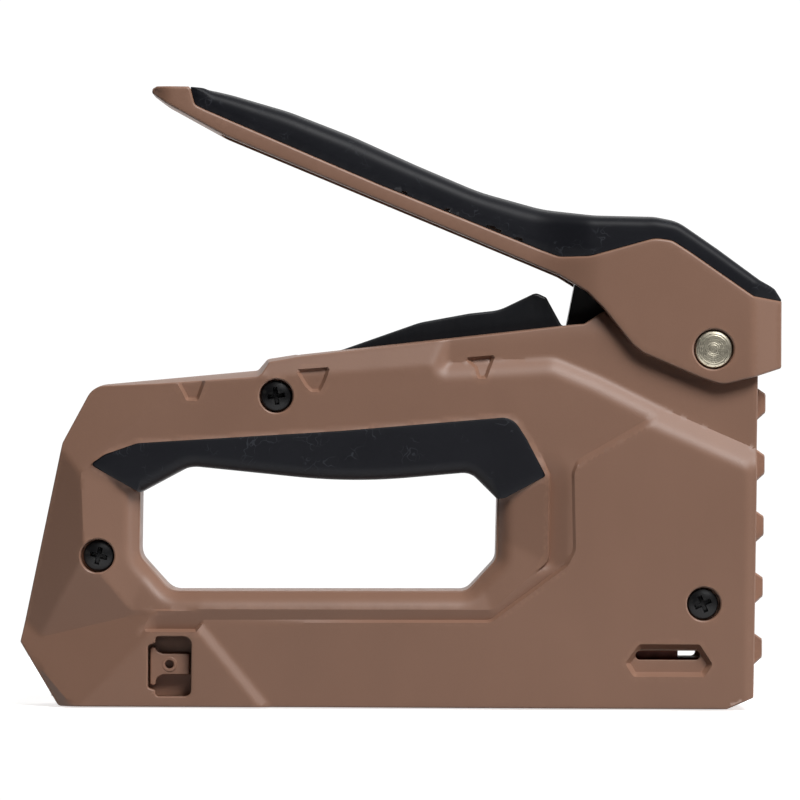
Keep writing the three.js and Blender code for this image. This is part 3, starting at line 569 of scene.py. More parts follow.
class Wire:
    """A shader socket that arithmetic can be written with."""

    def __init__(self, shader: "Shader", socket: bpy.types.NodeSocket) -> None:
        """Wraps an output socket of a shader's node."""
        self.shader = shader
        self.socket = socket

    def _math(self, operation: str, *values: "Wire | float", clamp: bool = False) -> "Wire":
        """A Math node on the values."""
        settings = {"operation": operation, "use_clamp": clamp}
        return self.shader.node("ShaderNodeMath", settings, dict(enumerate(values)))

    def __add__(self, other: "Wire | float") -> "Wire":
        """This value plus another."""
        return self._math("ADD", self, other)

    def __radd__(self, other: float) -> "Wire":
        """A number plus this value."""
        return self._math("ADD", other, self)

    def __sub__(self, other: "Wire | float") -> "Wire":
        """This value minus another."""
        return self._math("SUBTRACT", self, other)

    def __rsub__(self, other: float) -> "Wire":
        """A number minus this value."""
        return self._math("SUBTRACT", other, self)

    def __mul__(self, other: "Wire | float") -> "Wire":
        """This value times another."""
        return self._math("MULTIPLY", self, other)

    def __rmul__(self, other: float) -> "Wire":
        """A number times this value."""
        return self._math("MULTIPLY", other, self)

    def __pow__(self, other: float) -> "Wire":
        """This value raised to a power."""
        return self._math("POWER", self, other)

    def clamped(self) -> "Wire":
        """This value kept between 0 and 1."""
        return self._math("ADD", self, 0.0, clamp=True)

    def ramp(self, low: float, high: float) -> "Wire":
        """0 below low, 1 above high and smooth between them."""
        inputs = {"Value": self, "From Min": low, "From Max": high, "To Min": 0.0, "To Max": 1.0}
        return self.shader.node("ShaderNodeMapRange", {"interpolation_type": "SMOOTHSTEP"}, inputs)


class Shader:
    """A material under construction, with one method that adds any node."""

    def __init__(self, name: str) -> None:
        """Starts an empty material of that name."""
        self.material = bpy.data.materials.new(name)
        self.material.use_nodes = True
        self.tree = self.material.node_tree
        self.tree.nodes.clear()

    def node(self, kind: str, settings: dict, inputs: dict, output: str | int = 0) -> Wire:
        """Adds a node.

        Args:
            kind: the node's type.
            settings: its properties, set first.
            inputs: values or wires for its sockets, by name or number.
            output: the socket that the wire comes from.

        Returns:
            The wire from the node's output.
        """
        node = self.tree.nodes.new(kind)
        for key, value in settings.items():
            setattr(node, key, value)
        for key, value in inputs.items():
            if isinstance(value, Wire):
                self.tree.links.new(value.socket, node.inputs[key])
            else:
                node.inputs[key].default_value = value
        return Wire(self, node.outputs[output])

    def place(self, stretch: tuple[float, float, float] = (1, 1, 1)) -> Wire:
        """The place on the piece, stretched along its axes."""
        spot = self.node("ShaderNodeTexCoord", {}, {}, "Object")
        if stretch == (1, 1, 1):
            return spot
        return self.node("ShaderNodeMapping", {}, {"Vector": spot, "Scale": stretch})

    def noise(self, size: float, detail: float = 3.0, place: Wire | None = None) -> Wire:
        """Cloudy noise with blotches of about that size in mm."""
        inputs = {"Vector": place or self.place(), "Scale": 1 / (size * MM), "Detail": detail}
        return self.node("ShaderNodeTexNoise", {}, inputs)

    def mix(self, amount: "Wire | float", first: "Wire | tuple", second: "Wire | tuple") -> Wire:
        """A colour between two others."""
        colours = {6: first, 7: second, 0: amount}
        return self.node("ShaderNodeMix", {"data_type": "RGBA"}, colours, 2)

    def edges(self, low: float = 0.505, high: float = 0.56) -> Wire:
        """1 along convex edges, 0 on flat ground."""
        return self.node("ShaderNodeNewGeometry", {}, {}, "Pointiness").ramp(low, high)

    def bump(self, height: Wire, depth: float, strength: float = 1.0, under: Wire | None = None) -> Wire:
        """A normal bent by a height of that depth in mm."""
        inputs = {"Height": height, "Distance": depth * MM, "Strength": strength}
        if under is not None:
            inputs["Normal"] = under
        return self.node("ShaderNodeBump", {}, inputs)

    def finish(self, **inputs: object) -> bpy.types.Material:
        """Ends the material with a principled surface; a socket's name has _ for spaces."""
        sockets = {key.replace("_", " "): value for key, value in inputs.items()}
        surface = self.node("ShaderNodeBsdfPrincipled", {}, sockets)
        self.node_output(surface)
        return self.material

    def node_output(self, surface: Wire) -> None:
        """Sends a surface to the material's output."""
        end = self.tree.nodes.new("ShaderNodeOutputMaterial")
        self.tree.links.new(surface.socket, end.inputs["Surface"])


def rgba(red: float, green: float, blue: float) -> tuple[float, float, float, float]:
    """A colour given as 0 to 255 display values, as a linear one."""
    shown = (red / 255, green / 255, blue / 255)
    linear = [v / 12.92 if v <= 0.04045 else ((v + 0.055) / 1.055) ** 2.4 for v in shown]
    return (*linear, 1.0)


def shade(colour: tuple, by: float) -> tuple[float, float, float, float]:
    """A colour made lighter or darker."""
    return (*[min(1.0, c * by) for c in colour[:3]], 1.0)


# ---------------------------------------------------------------- finishes


@dataclass(frozen=True)
class Moulding:
    """Glass-filled plastic with a fine spark-eroded texture, and a painted highlight that lightens its convex edges in
    patches.
    """

    name: str
    colour: tuple
    roughness: float = 0.46
    texture: float = 0.35  # mm
    depth: float = 0.012  # mm

    def make(self) -> bpy.types.Material:
        """The material."""
        s = Shader(self.name)
        cloud = s.noise(38, 4)
        flow = s.noise(9, 5, s.place((1, 1, 0.35)))
        speck = s.noise(self.texture, 2)
        # painted highlight: convex edges, found by pointiness, lightened in patches
        edge_highlight = (s.edges() * s.noise(3.5, 4).ramp(0.32, 0.62)).clamped()
        tone = ((cloud - 0.5) * 0.5 + (flow - 0.5) * 0.32 + (speck - 0.5) * 0.3 + 0.5).clamped()
        colour = s.mix(tone, shade(self.colour, 0.86), shade(self.colour, 1.15))
        colour = s.mix(edge_highlight * 0.35, colour, shade(self.colour, 1.6))
        rough = self.roughness + (cloud - 0.5) * 0.1 + (speck - 0.5) * 0.12 - edge_highlight * 0.08
        relief = s.bump(speck + s.noise(self.texture * 2.6, 2) * 0.6, self.depth)
        waves = s.bump(s.noise(16, 1), 0.03, 1.0, relief)
        return s.finish(Base_Color=colour, Roughness=rough, Normal=waves, Specular_IOR_Level=0.5)


@dataclass(frozen=True)
class Rubber:
    """Satin black overmoulding with faint curved scuffs."""

    name: str
    colour: tuple
    roughness: float = 0.5

    def make(self) -> bpy.types.Material:
        """The material."""
        s = Shader(self.name)
        cloud = s.noise(22, 4)
        grain = s.noise(0.3, 2)
        wander = s.node("ShaderNodeTexNoise", {}, {"Vector": s.place(), "Scale": 160.0}, 1)
        bent = s.node(
            "ShaderNodeVectorMath",
            {"operation": "MULTIPLY_ADD"},
            {0: wander, 1: (0.03,) * 3, 2: s.place()},
        )
        lines = s.node(
            "ShaderNodeTexVoronoi",
            {"feature": "DISTANCE_TO_EDGE"},
            {"Vector": bent, "Scale": 105.0},
        )
        patch = s.noise(7, 2).ramp(0.5, 0.64)
        scuff = ((1 - lines.ramp(0.006, 0.03)) * patch).clamped()
        dust = s.noise(1.1, 5).ramp(0.62, 0.8)
        pale = (cloud * 0.6 + dust * 0.5).clamped()
        colour = s.mix(pale, shade(self.colour, 0.75), shade(self.colour, 1.5))
        colour = s.mix(scuff * 0.22, colour, rgba(92, 96, 104))
        rough = self.roughness + (cloud - 0.5) * 0.16 + scuff * 0.14 + dust * 0.06
        relief = s.bump(grain + scuff * 1.5, 0.011)
        return s.finish(
            Base_Color=colour, Roughness=rough, Normal=relief,
            Specular_IOR_Level=0.22, Sheen_Weight=0.12, Sheen_Roughness=0.35,
        )


@dataclass(frozen=True)
class Coated:
    """Steel under black paint or oxide, a little orange-peeled, worn thin along edges."""

    name: str
    colour: tuple
    roughness: float = 0.24
    metallic: float = 0.0
    coat: float = 0.4
    worn: float = 0.4

    def make(self) -> bpy.types.Material:
        """The material."""
        s = Shader(self.name)
        cloud = s.noise(12, 4)
        peel = s.noise(0.9, 2)
        worn = (s.edges(0.52, 0.6) * s.noise(1.6, 5).ramp(0.42, 0.66)).clamped()
        scratch = s.noise(0.5, 3, s.place((0.12, 1, 1.4))).ramp(0.66, 0.74) * s.noise(10, 2).ramp(0.5, 0.7)
        tone = (cloud + scratch * 0.5).clamped()
        colour = s.mix(tone, shade(self.colour, 0.7), shade(self.colour, 1.5))
        colour = s.mix(worn * self.worn, colour, rgba(118, 116, 112))
        rough = self.roughness + (cloud - 0.5) * 0.12 + scratch * 0.12
        relief = s.bump(peel, 0.006)
        metal = self.metallic + worn * (self.worn * (1 - self.metallic))
        return s.finish(
            Base_Color=colour, Roughness=rough, Metallic=metal, Normal=relief,
            Coat_Weight=self.coat, Coat_Roughness=0.12,
        )


@dataclass(frozen=True)
class Stamped:
    """Sheet steel painted black on its flat sides, with a painted reflection: its webs, cut edges and folds, found by
    which way they face, are coloured as bright metal.
    """

    name: str
    colour: tuple
    # colour of the painted reflection on the webs, cut edges and folds
    bare: tuple
    shine: float = 1.0

    def make(self) -> bpy.types.Material:
        """The material."""
        s = Shader(self.name)
        facing = s.node("ShaderNodeTexCoord", {}, {}, "Normal")
        across = s.node("ShaderNodeSeparateXYZ", {}, {0: facing}, "Y")
        side = (across * across).ramp(0.5, 0.8)
        cloud = s.noise(8, 4)
        drawn = s.noise(0.4, 3, s.place((1, 1, 0.06)))
        paint = s.mix(cloud, shade(self.colour, 0.7), shade(self.colour, 1.5))
        # painted reflection: bright metal tone for the faces that don't face sideways
        metal = s.mix((cloud * 0.5 + drawn * 0.5).clamped(), shade(self.bare, 0.6), shade(self.bare, 1.2))
        glint_faces = ((1 - side) * (0.75 + cloud * 0.4)).clamped()
        colour = s.mix(glint_faces, paint, metal)
        rough = 0.34 + (drawn - 0.5) * 0.15 + glint_faces * 0.12
        relief = s.bump(s.noise(0.9, 2) + drawn * 0.4, 0.006)
        return s.finish(Base_Color=colour, Roughness=rough, Metallic=glint_faces * self.shine, Normal=relief)


@dataclass(frozen=True)
class BareMetal:
    """Plated or bright steel, brushed along one way, with faint stains."""

    name: str
    colour: tuple
    roughness: float = 0.3
    along: tuple[float, float, float] = (0.04, 1, 1)
    stain: float = 0.3
    pits: float = 0.0

    def make(self) -> bpy.types.Material:
        """The material."""
        s = Shader(self.name)
        cloud = s.noise(9, 5)
        brush = s.noise(0.35, 3, s.place(self.along))
        pits = s.noise(0.8, 2).ramp(0.62, 0.72) * self.pits
        tone = (cloud * 0.7 + brush * 0.4).clamped()
        colour = s.mix(tone, shade(self.colour, 0.72), shade(self.colour, 1.12))
        dull = (s.noise(4, 5).ramp(0.5, 0.72) * self.stain + pits).clamped()
        colour = s.mix(dull, colour, shade(self.colour, 0.4))
        rough = self.roughness + (brush - 0.5) * 0.2 + dull * 0.25
        relief = s.bump(brush - pits * 2, 0.008)
        return s.finish(Base_Color=colour, Roughness=rough, Metallic=1.0, Normal=relief)


MOULDED_TAN = rgba(146, 110, 91)


class Finish(Enum):
    """Every finish of the tool: the record's slot for it and how it is made."""

    TAN = ("tan", Moulding("tan_housing", MOULDED_TAN))
    LEVER_TAN = ("lever_tan", Moulding("tan_lever", MOULDED_TAN, 0.44, 0.32, 0.01))
    RUBBER = ("rubber", Rubber("grip_rubber", rgba(19, 20, 26)))
    # the arm's and link's third colour is the painted reflection on their webs and edges
    ARM = ("black_steel", Stamped("arm_steel", rgba(16, 17, 21), rgba(62, 66, 70), 0.3))
    LINK = ("black_steel", Stamped("link_steel", rgba(10, 10, 12), rgba(205, 205, 205), 0.6))
    SCREW = ("black_screw", Coated("oxide_screw", rgba(12, 12, 14), 0.36, 0.4, 0.0, 0.2))
    STEEL = ("steel", BareMetal("zinc_steel", rgba(186, 184, 178)))
    RIVET = ("rivet_steel", BareMetal("rivet_face", rgba(206, 198, 178), 0.36, (1, 1, 1), 0.45, 1.0))
    SPRING = ("spring_steel", BareMetal("spring_wire", rgba(140, 142, 148), 0.28, (1, 1, 1), 0.2))
    RED = ("red_plastic", Moulding("red_follower", rgba(150, 62, 34), 0.5, 0.3, 0.008))

    @property
    def slot(self) -> str:
        """The record's material slot."""
        return self.value[0]

    def material(self) -> bpy.types.Material:
        """The material, made once."""
        return bpy.data.materials.get(self.value[1].name) or self.value[1].make()


def dress(piece: bpy.types.Object, finish: Finish, body: str | None = None, *nodes: str) -> bpy.types.Object:
    """Gives a piece its finish; a new piece also gets its body and the nodes it stands for."""
    piece.data.materials.clear()
    piece.data.materials.append(finish.material())
    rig.slot(piece, finish.slot)
    if body is not None:
        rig.ride(piece, body)
        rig.replaces(piece, *nodes)
    log.info("%s: %d faces, %s", piece.name, len(piece.data.polygons), finish.slot)
    return piece


# ---------------------------------------------------------------- body shells

OPENING_TOP: list[Corner] = [
    (26.1, 56.0),
    (18.8, 63.2, 5),
    (-12.9, 60.3, 200),
    (-56.6, 64.6, 9),
    (-69.9, 57.4),
]
OPENING: list[Corner] = [*OPENING_TOP, (-70.1, 40.5, 5), (-61.6, 31, 5), (18, 31.3, 4), (25.8, 39.8, 4)]
GRIP: list[Corner] = [
    *OPENING_TOP,
    (-83.3, 64.9, 0.8),
    (-79.4, 67.6, 3),
    (-70.6, 70.7, 6),
    (-16.2, 74.2),
    (30, 78.2, 5),
    (33.8, 72.4),
    (39.1, 62.3, 0.8),
    (28.2, 56.4, 2),
]


@dataclass
class Shells:
    """The two moulded halves of the body."""

    side: float = 15.2
    ring: float = 15.9
    panel: float = 16.45
    neck: float = 12.8
    slot_half: float = 7.6
    nose_room: float = 12.9
    seat: float = 13.0
    silhouette: Sequence[Corner] = (
        (-91.6, 0, 1.5),
        (-102.2, 17, 0.6),
        (-90.8, 70.7, 3),
        (-82.6, 86.2, 6),
        (-38.6, 90.4, 1.5),
        (-36, 93.5, 1.5),
        (-26.7, 95),
        (46.1, 103.2),
        (49.3, 103.4),
        (54.4, 106.6, 2),
        (77, 108.9, 4),
        (96.3, 108.9, 12),
        (96, 88.9),
        (95, 3.1, 0.6),
        (87.8, 0, 0.8),
    )
    ring_line: Sequence[Corner] = (
        (-85.6, 62.6),
        (-84.7, 40.7, 3),
        (-72.6, 26.2, 2),
        (24.6, 26.4, 2),
        (39.6, 39.5, 3),
        (39.9, 62.4),
        (31.4, 81.2, 4),
        (26.4, 86.2, 5),
        (-16.8, 82.5),
        (-68.9, 78.3, 5),
    )
    flank: Sequence[Corner] = (
        (-68.4, 20.9),
        (-54.9, 20.9),
        (-52.9, 23.4, 1),
        (24.2, 23.7, 3),
        (44.5, 38.8, 2),
        (46.4, 42.6, 4),
        (45.9, 63.2, 3),
        (47.3, 66.7, 3),
        (70.9, 80.4, 1),
        (93.7, 70.6, 1),
        (99, 64),
        (99, -6),
        (-96, -6),
    )
    neck_line: Sequence[Corner] = (
        (12.7, 92.6),
        (41.3, 94.2, 8),
        (53.4, 89.2),
        (70.9, 80.6),
        (99, 68.3),
        (99, 120),
        (12.7, 120),
    )
    recess: Sequence[Corner] = (
        (64.2, 17.4, 1.2),
        (80.5, 17.4, 1.2),
        (84, 12, 1.2),
        (81.8, 8.6, 1.2),
        (62.7, 8.6, 1.2),
        (60.4, 12.2, 1.2),
    )
    window: Sequence[Corner] = ((63.3, 13.1, 1.2), (80.7, 13.1, 1.2), (80.7, 15.6, 1.2), (63.3, 15.6, 1.2))
    pocket: Sequence[Corner] = (
        (-67.5, 5.1, 0.8),
        (-65.6, 4.4, 0.3),
        (-65.4, 2.8, 1.2),
        (-55.9, 2.8, 1.8),
        (-55.8, 18.9, 2.2),
        (-65.4, 18.9, 1.2),
        (-65.6, 17.2, 0.3),
        (-67.5, 16.4, 0.8),
    )
    notches: Sequence[Sequence[Corner]] = (
        ((-61.8, 90), (-58.6, 84.4), (-57.5, 82.1, 0.8), (-54.3, 82.1, 0.8), (-53.2, 85), (-50.5, 92)),
        ((-28.4, 90.6), (-25.6, 86), (-24, 84.6, 0.8), (-21.6, 84.6, 0.8), (-20.2, 87.4), (-18.8, 91.4)),
        ((16.6, 94), (19.8, 91.2), (20.7, 88.3, 0.8), (23.1, 88.3, 0.8), (24.3, 91.6), (25.6, 94.8)),
    )
    screws: Sequence[Corner] = ((-33.4, 83.5), (-81.2, 40.4), (81.5, 28.2))
    bore: float = 4.45
    lining: float = 2.7

    def __post_init__(self) -> None:
        """Works out the outlines and flat facets that the faces are made from."""
        self.lines = {
            name: outline(corners, 1.2)
            for name, corners in {
                "body": self.silhouette,
                "ring": self.ring_line,
                "flank": self.flank,
                "neck": self.neck_line,
                "recess": self.recess,
                "opening": OPENING,
                "grip": GRIP,
            }.items()
        }
        self.notch_lines = [outline(n, 1.2) for n in self.notches]
        tail = (-102.2, 17, 7.9)
        self.facets = [
            plane((-85.6, 62.6, self.ring), (-84.7, 40.7, self.ring), (-97.6, 40.7, 9.0)),
            plane((-84.7, 40.7, self.ring), (-72.2, 25.9, 14.3), tail),
            plane((-66, 20.9, 16.4), (-87, 0.2, 16.1), tail),
            plane((-84.4, 65.6, 15.3), (-69.4, 78.1, 15.2), (-82.6, 86.2, 10.4)),
            plane((-102.4, 16.4, 7.9), (-87.8, 0.4, 15.9), (-91.6, 0, 12.4)),
        ]

    def face(self, p: Points, bores: bool, bare: bool = True) -> np.ndarray:
        """Half width of the outer face.

        Args:
            p: places as (x, z).
            bores: whether the screws' counterbores are on this side.
            bare: whether the seat of the rubber grip is cut.

        Returns:
            Half widths in mm.
        """
        x, z = p.T
        line = {name: distance(p, points) for name, points in self.lines.items()}
        upper_part = ease((z - 60) / 12)
        ring_top = self.ring - (self.ring - self.side) * upper_part
        ring_top = ring_top - 1.6 * np.clip(1 - np.hypot(x + 72.2, z - 25.9) / 19, 0, 1)
        inward = np.maximum(line["ring"], 0)
        outward = np.maximum(-line["ring"], 0)
        lip = np.clip(1 - np.abs(line["opening"]) / 4.4, 0, 1)
        frame_face = ring_top - (0.21 - 0.19 * upper_part) * inward - 3.4 * bare * lip**2
        leaning = np.interp(x, [-36, -18, 17, 46], [88.4, 89.7, 92.6, 94.6])
        wall = np.full(len(p), self.side) - 0.3 * np.maximum(z - leaning, 0) * ease((x + 38) / 2)
        falling = self.ring - 0.34 * outward
        climbing = self.ring - 2.0 * np.clip(outward / 0.5, 0, 1) + 0.36 * outward
        valley = falling + (climbing - falling) * ease((z - 35.5) / 4) * (x > 30)
        valley = valley + (self.ring - valley) * ease((-65 - x) / 6)
        low = ease((70 - z) / 12)
        ground = wall * (1 - low) + np.minimum(valley, self.ring) * low
        ground = np.where(line["ring"] > 0, frame_face, ground)
        along = ((x + 54.9) * 20.9 + (z - 20.9) * 17.3) / math.hypot(20.9, 17.3)
        level = 16.4 - 1.35 * np.clip(along / 2.6, 0, 1) + (self.panel - 15.05) * ease((along - 6) / 60)
        level = np.minimum(level, self.panel - 0.42 * (x - 93.0))
        bevel = (
            (x - 70.9) * (70.6 - 80.4) - (z - 80.4) * (93.7 - 70.9)
        ) / math.hypot(70.6 - 80.4, 93.7 - 70.9)
        rear_bevel = ((z - 66.7) * (70.9 - 47.3) - (x - 47.3) * (80.4 - 66.7)) / math.hypot(23.6, 13.7)
        level = np.minimum(level, 15.2 + 0.38 * np.maximum(bevel, 0))
        level = np.where(x > 38, np.minimum(level, 15.2 + 0.75 * np.maximum(-rear_bevel, 0)), level)
        t = np.clip(line["flank"] / 0.8, 0, 1)
        h = ground + (level - ground) * t
        h = smooth_min(h, self.neck + 0.66 * np.maximum(-line["neck"], 0), 1.2)
        upper, lower, tail, corner, foot = (facet(p) for facet in self.facets)
        for facet in (np.maximum(np.minimum(upper, lower), tail), corner, foot):
            h = smooth_min(h, facet, 0.2)
        for notch in self.notch_lines:
            h = h - 1.3 * np.clip(distance(p, notch) / 0.9, 0, 1)
        h = np.minimum(h, self.panel - 1.9 * np.clip(line["recess"] / 1.3, 0, 1) + 9 * (line["recess"] < 0))
        rim = np.exp(-((line["grip"] / 0.4) ** 2)) * 0.3 * (line["opening"] < -0.5)
        if not bare:
            return h
        h = np.where(line["grip"] > 0.02, self.seat, h + rim)
        if bores:
            for bx, bz in self.screws:
                radius = np.hypot(x - bx, z - bz)
                h = h - 3.0 * np.clip((self.bore + 0.08 - radius) / 0.08, 0, 1)
                h = h - 0.25 * np.clip((self.bore + 0.45 - radius) / 0.35, 0, 1)
        return h

    def end(self, p: Points) -> np.ndarray:
        """How far from the middle the outer wall stops: further out round the slot and the tunnel."""
        x, z = p.T
        tunnel = ((z < 1) & (x < 87.2)) | ((x < -60) & (z < 19.3))
        slot = (z > 85) & (x > -28.2) & (x < 62)
        return np.where(tunnel | slot, self.slot_half, HALF_GAP)

    def inner(self, p: Points) -> np.ndarray:
        """Half width of the inner face: walls at the rims, hollow between them."""
        x, z = p.T
        rim = np.minimum(distance(p, self.lines["body"]), -distance(p, self.lines["opening"]))
        room = np.where(z > 68, 10.2, self.nose_room)
        room = np.where(x < -66, 9.8, room)
        room = np.where((x < -66) & (z < 19.3), self.slot_half, room)
        room = np.minimum(room, self.face(p, False) - 2.2)
        edge = self.end(p)
        edge = np.where((z < 4) & (x < 87.2), self.slot_half, edge)
        return np.where(rim < 2.4, np.minimum(edge, room), room)

    def relief(self, bores: bool) -> Relief:
        """One shell as a relief."""
        body = outline(self.silhouette)
        x, z = body.T
        crown = np.interp(x, [-84, -78, -64, -39, -36, -27, 46, 54], [0, 0.5, 1.2, 1.7, 1.0, 0.8, 0.3, 0])
        crown = np.where(z > 84, crown, 0)
        opening = self.lined_opening()
        creases = [
            self.lines["ring"],
            outline(self.flank, 0.8),
            outline(self.recess, 1.0),
            outline(GRIP, 0.9),
        ]
        inset = outline(GRIP, 0.9)
        creases.append(inset - normals(inset) * 0.06)
        flank_in = creases[1] - normals(creases[1]) * 0.8
        creases.append(flank_in)
        recess_in = creases[2] - normals(creases[2]) * 1.3
        creases.append(recess_in)
        ridge_out = creases[0] + normals(creases[0]) * 0.5
        creases.append(ridge_out)
        for notch in self.notches:
            creases.append(outline(notch, 0.8))
            creases.append(creases[-1] - normals(creases[-1]) * 0.9)
        closed = [np.vstack([c, c[:1]]) for c in creases]
        closed += self.facet_creases()
        if bores:
            a = np.linspace(0, 2 * math.pi, 49)
            circle = np.column_stack([np.cos(a), np.sin(a)])
            for spot in self.screws:
                for radius in (self.bore, self.bore + 0.1, self.bore + 0.45):
                    closed.append(np.array(spot) + circle * radius)
        inner_lines = []
        for loop, way in ((self.lines["body"], -1), (self.lines["opening"], 1)):
            for by in (2.3, 2.5):
                moved = loop + normals(loop) * by * way
                inner_lines.append(np.vstack([moved, moved[:1]]))
        bound = outline(self.silhouette)
        kept = [self.clip(c, bound, opening) for c in closed]
        return Relief(
            [
                Rim(body, self.end(body), 0.5, crown),
                Rim(opening, HALF_GAP, 0.4, 0.0, True),
                Rim(outline(self.pocket, 0.5), self.nose_room - 0.1, 0.35, 0.0, True),
                Rim(outline(self.window, 0.5), self.nose_room, 0.2, 0.0, True),
            ],
            lambda p: self.face(p, bores),
            self.inner,
            [run for group in kept for run in group],
            [],
            1.0,
            2.5,
        )

    def lined_opening(self) -> Points:
        """The hand opening's edge, raised behind the rubber that lines its top."""
        loop = outline(OPENING)
        top = dense(outline_run(OPENING_TOP), 0.9)
        on_top = np.clip(1.2 - distance(loop, top, False), 0, 1)
        ends = np.hypot(*(loop - top[0]).T), np.hypot(*(loop - top[-1]).T)
        inset = np.clip(np.minimum(*ends) / 1.5, 0, 1)
        return loop + normals(loop) * (self.lining * (on_top > 0.7) * inset)[:, None]

    def facet_creases(self) -> list[Points]:
        """The straight creases where two flat facets meet."""
        upper, lower, tail, corner, foot = self.facets
        zone = level_plane(16.4)
        rear = level_plane(self.side)
        return [
            meeting(upper, lower, (-84.7, 40.7), (-99, 32)),
            meeting(lower, tail, (-73, 25.5), (-101, 17)),
            meeting(tail, zone, (-66.5, 20), (-86, 1.5)),
            meeting(tail, foot, (-100.5, 16), (-88, 1.5)),
            meeting(foot, zone, (-87, 1.2), (-85, 0.8)),
            meeting(corner, rear, (-83.4, 66.5), (-70, 77.5)),
        ]

    @staticmethod
    def clip(line: Points, bound: Points, opening: Points) -> list[Points]:
        """The stretches of a crease that lie well inside the face."""
        return runs_of(line, (distance(line, bound) > 1.2) & (distance(line, opening) < -2.2))

    def ribs(self, side: Side) -> list[tuple[np.ndarray, list]]:
        """The five ribs down the nose, half of each on this shell."""
        made = []
        for i in range(RIB_COUNT):
            z0 = RIB_LOWEST + RIB_PITCH * i
            x0 = NOSE_FACE + NOSE_LEAN * z0
            ring = np.array([(x0 + x, z0 + z) for x, z in RIB_PROFILE])
            count = len(ring)
            mid = ring.mean(0)
            rows = []
            for y, share in ((HALF_GAP, 1.0), (RIB_HALF, 1.0), (RIB_HALF + RIB_TAPER, RIB_END_SHARE)):
                flat = mid + (ring - mid) * share
                rows.append(np.column_stack([flat[:, 0], np.full(count, y), flat[:, 1]]))
            quads = band_quads(len(rows), count)
            caps = [tuple(range(count)), tuple(range(2 * count, 3 * count))]
            made += sided((np.vstack(rows), quads + caps), side)
        return made

    def build(self) -> None:
        """Makes both shells."""
        for side, name in ((Side.RIGHT, "housing_right"), (Side.LEFT, "housing_left")):
            faces = self.relief(side is Side.RIGHT).faces()
            piece = mesh_object(f"shell_{name[8:]}", sided(faces, side) + self.ribs(side), 26)
            dress(piece, Finish.TAN, "housing", name)


# ---------------------------------------------------------------- turned pieces


def turned(profile: Sequence[Corner], axis: Corner, count: int = 64) -> tuple[np.ndarray, list]:
    """A piece of revolution about an axis across the tool.

    Args:
        profile: (radius, y) from one end of the axis to the other, closed on the axis.
        axis: the axis' (x, z).
        count: faces round it.

    Returns:
        Points and faces.
    """
    a = np.linspace(0, 2 * math.pi, count, endpoint=False)
    rows = [
        np.column_stack([axis[0] + r * np.cos(a), np.full(count, y), axis[1] + r * np.sin(a)])
        for r, y in profile
    ]
    return np.vstack(rows), band_quads(len(profile), count)


# ---------------------------------------------------------------- lever

PIVOT: Corner = (83.9, 96.5)
LEVER_BACK: list[Corner] = [
    (-56.8, 166.5, 0.5),
    (-51.5, 166.1, 60),
    (-45.5, 164.7, 60),
    (-30.5, 160.4, 60),
    (-13.3, 153.8, 60),
    (3.9, 146.1, 60),
    (21, 138.9, 60),
    (38.2, 134.2, 40),
    (52, 132.7, 40),
    (68.2, 132.4, 12),
    (74.5, 131.2, 12),
    (85.4, 123.7, 20),
    (100.4, 112.7, 2),
    (102.2, 109.9, 0.4),
]
RUBBER_LINE: list[Corner] = [
    (102.2, 109.5, 0.3),
    (94.6, 110.8, 1),
    (77.2, 122.8, 8),
    (72.6, 125.7, 5),
    (68, 126.3, 8),
    (50.6, 121.4, 8),
    (42.6, 121.2, 6),
    (37.2, 123.2, 6),
    (-5.8, 140.4),
    (-52.4, 160.2, 3),
    (-55.6, 161.7, 2),
    (-56.7, 165.9, 0.4),
]
LEVER_FRONT: list[Corner] = [(102.3, 109.4), (102.3, 91.5, 0.8)]
LEVER_UNDER: list[Corner] = [
    (94.9, 89.1, 1.5),
    (86.3, 86.9, 7),
    (80.2, 88.9),
    (65, 95.4, 4),
    (62.2, 97.6, 3),
    (54.4, 107.3, 3),
    (50.1, 111.7, 3),
    (42.6, 116.2, 6),
    (-47.6, 153.4, 30),
    (-63.2, 161.9, 12),
    (-67.3, 164.9, 0.8),
    (-67.1, 166.1, 0.6),
    (-65.9, 166.7, 0.8),
    (-57.3, 166.6),
]


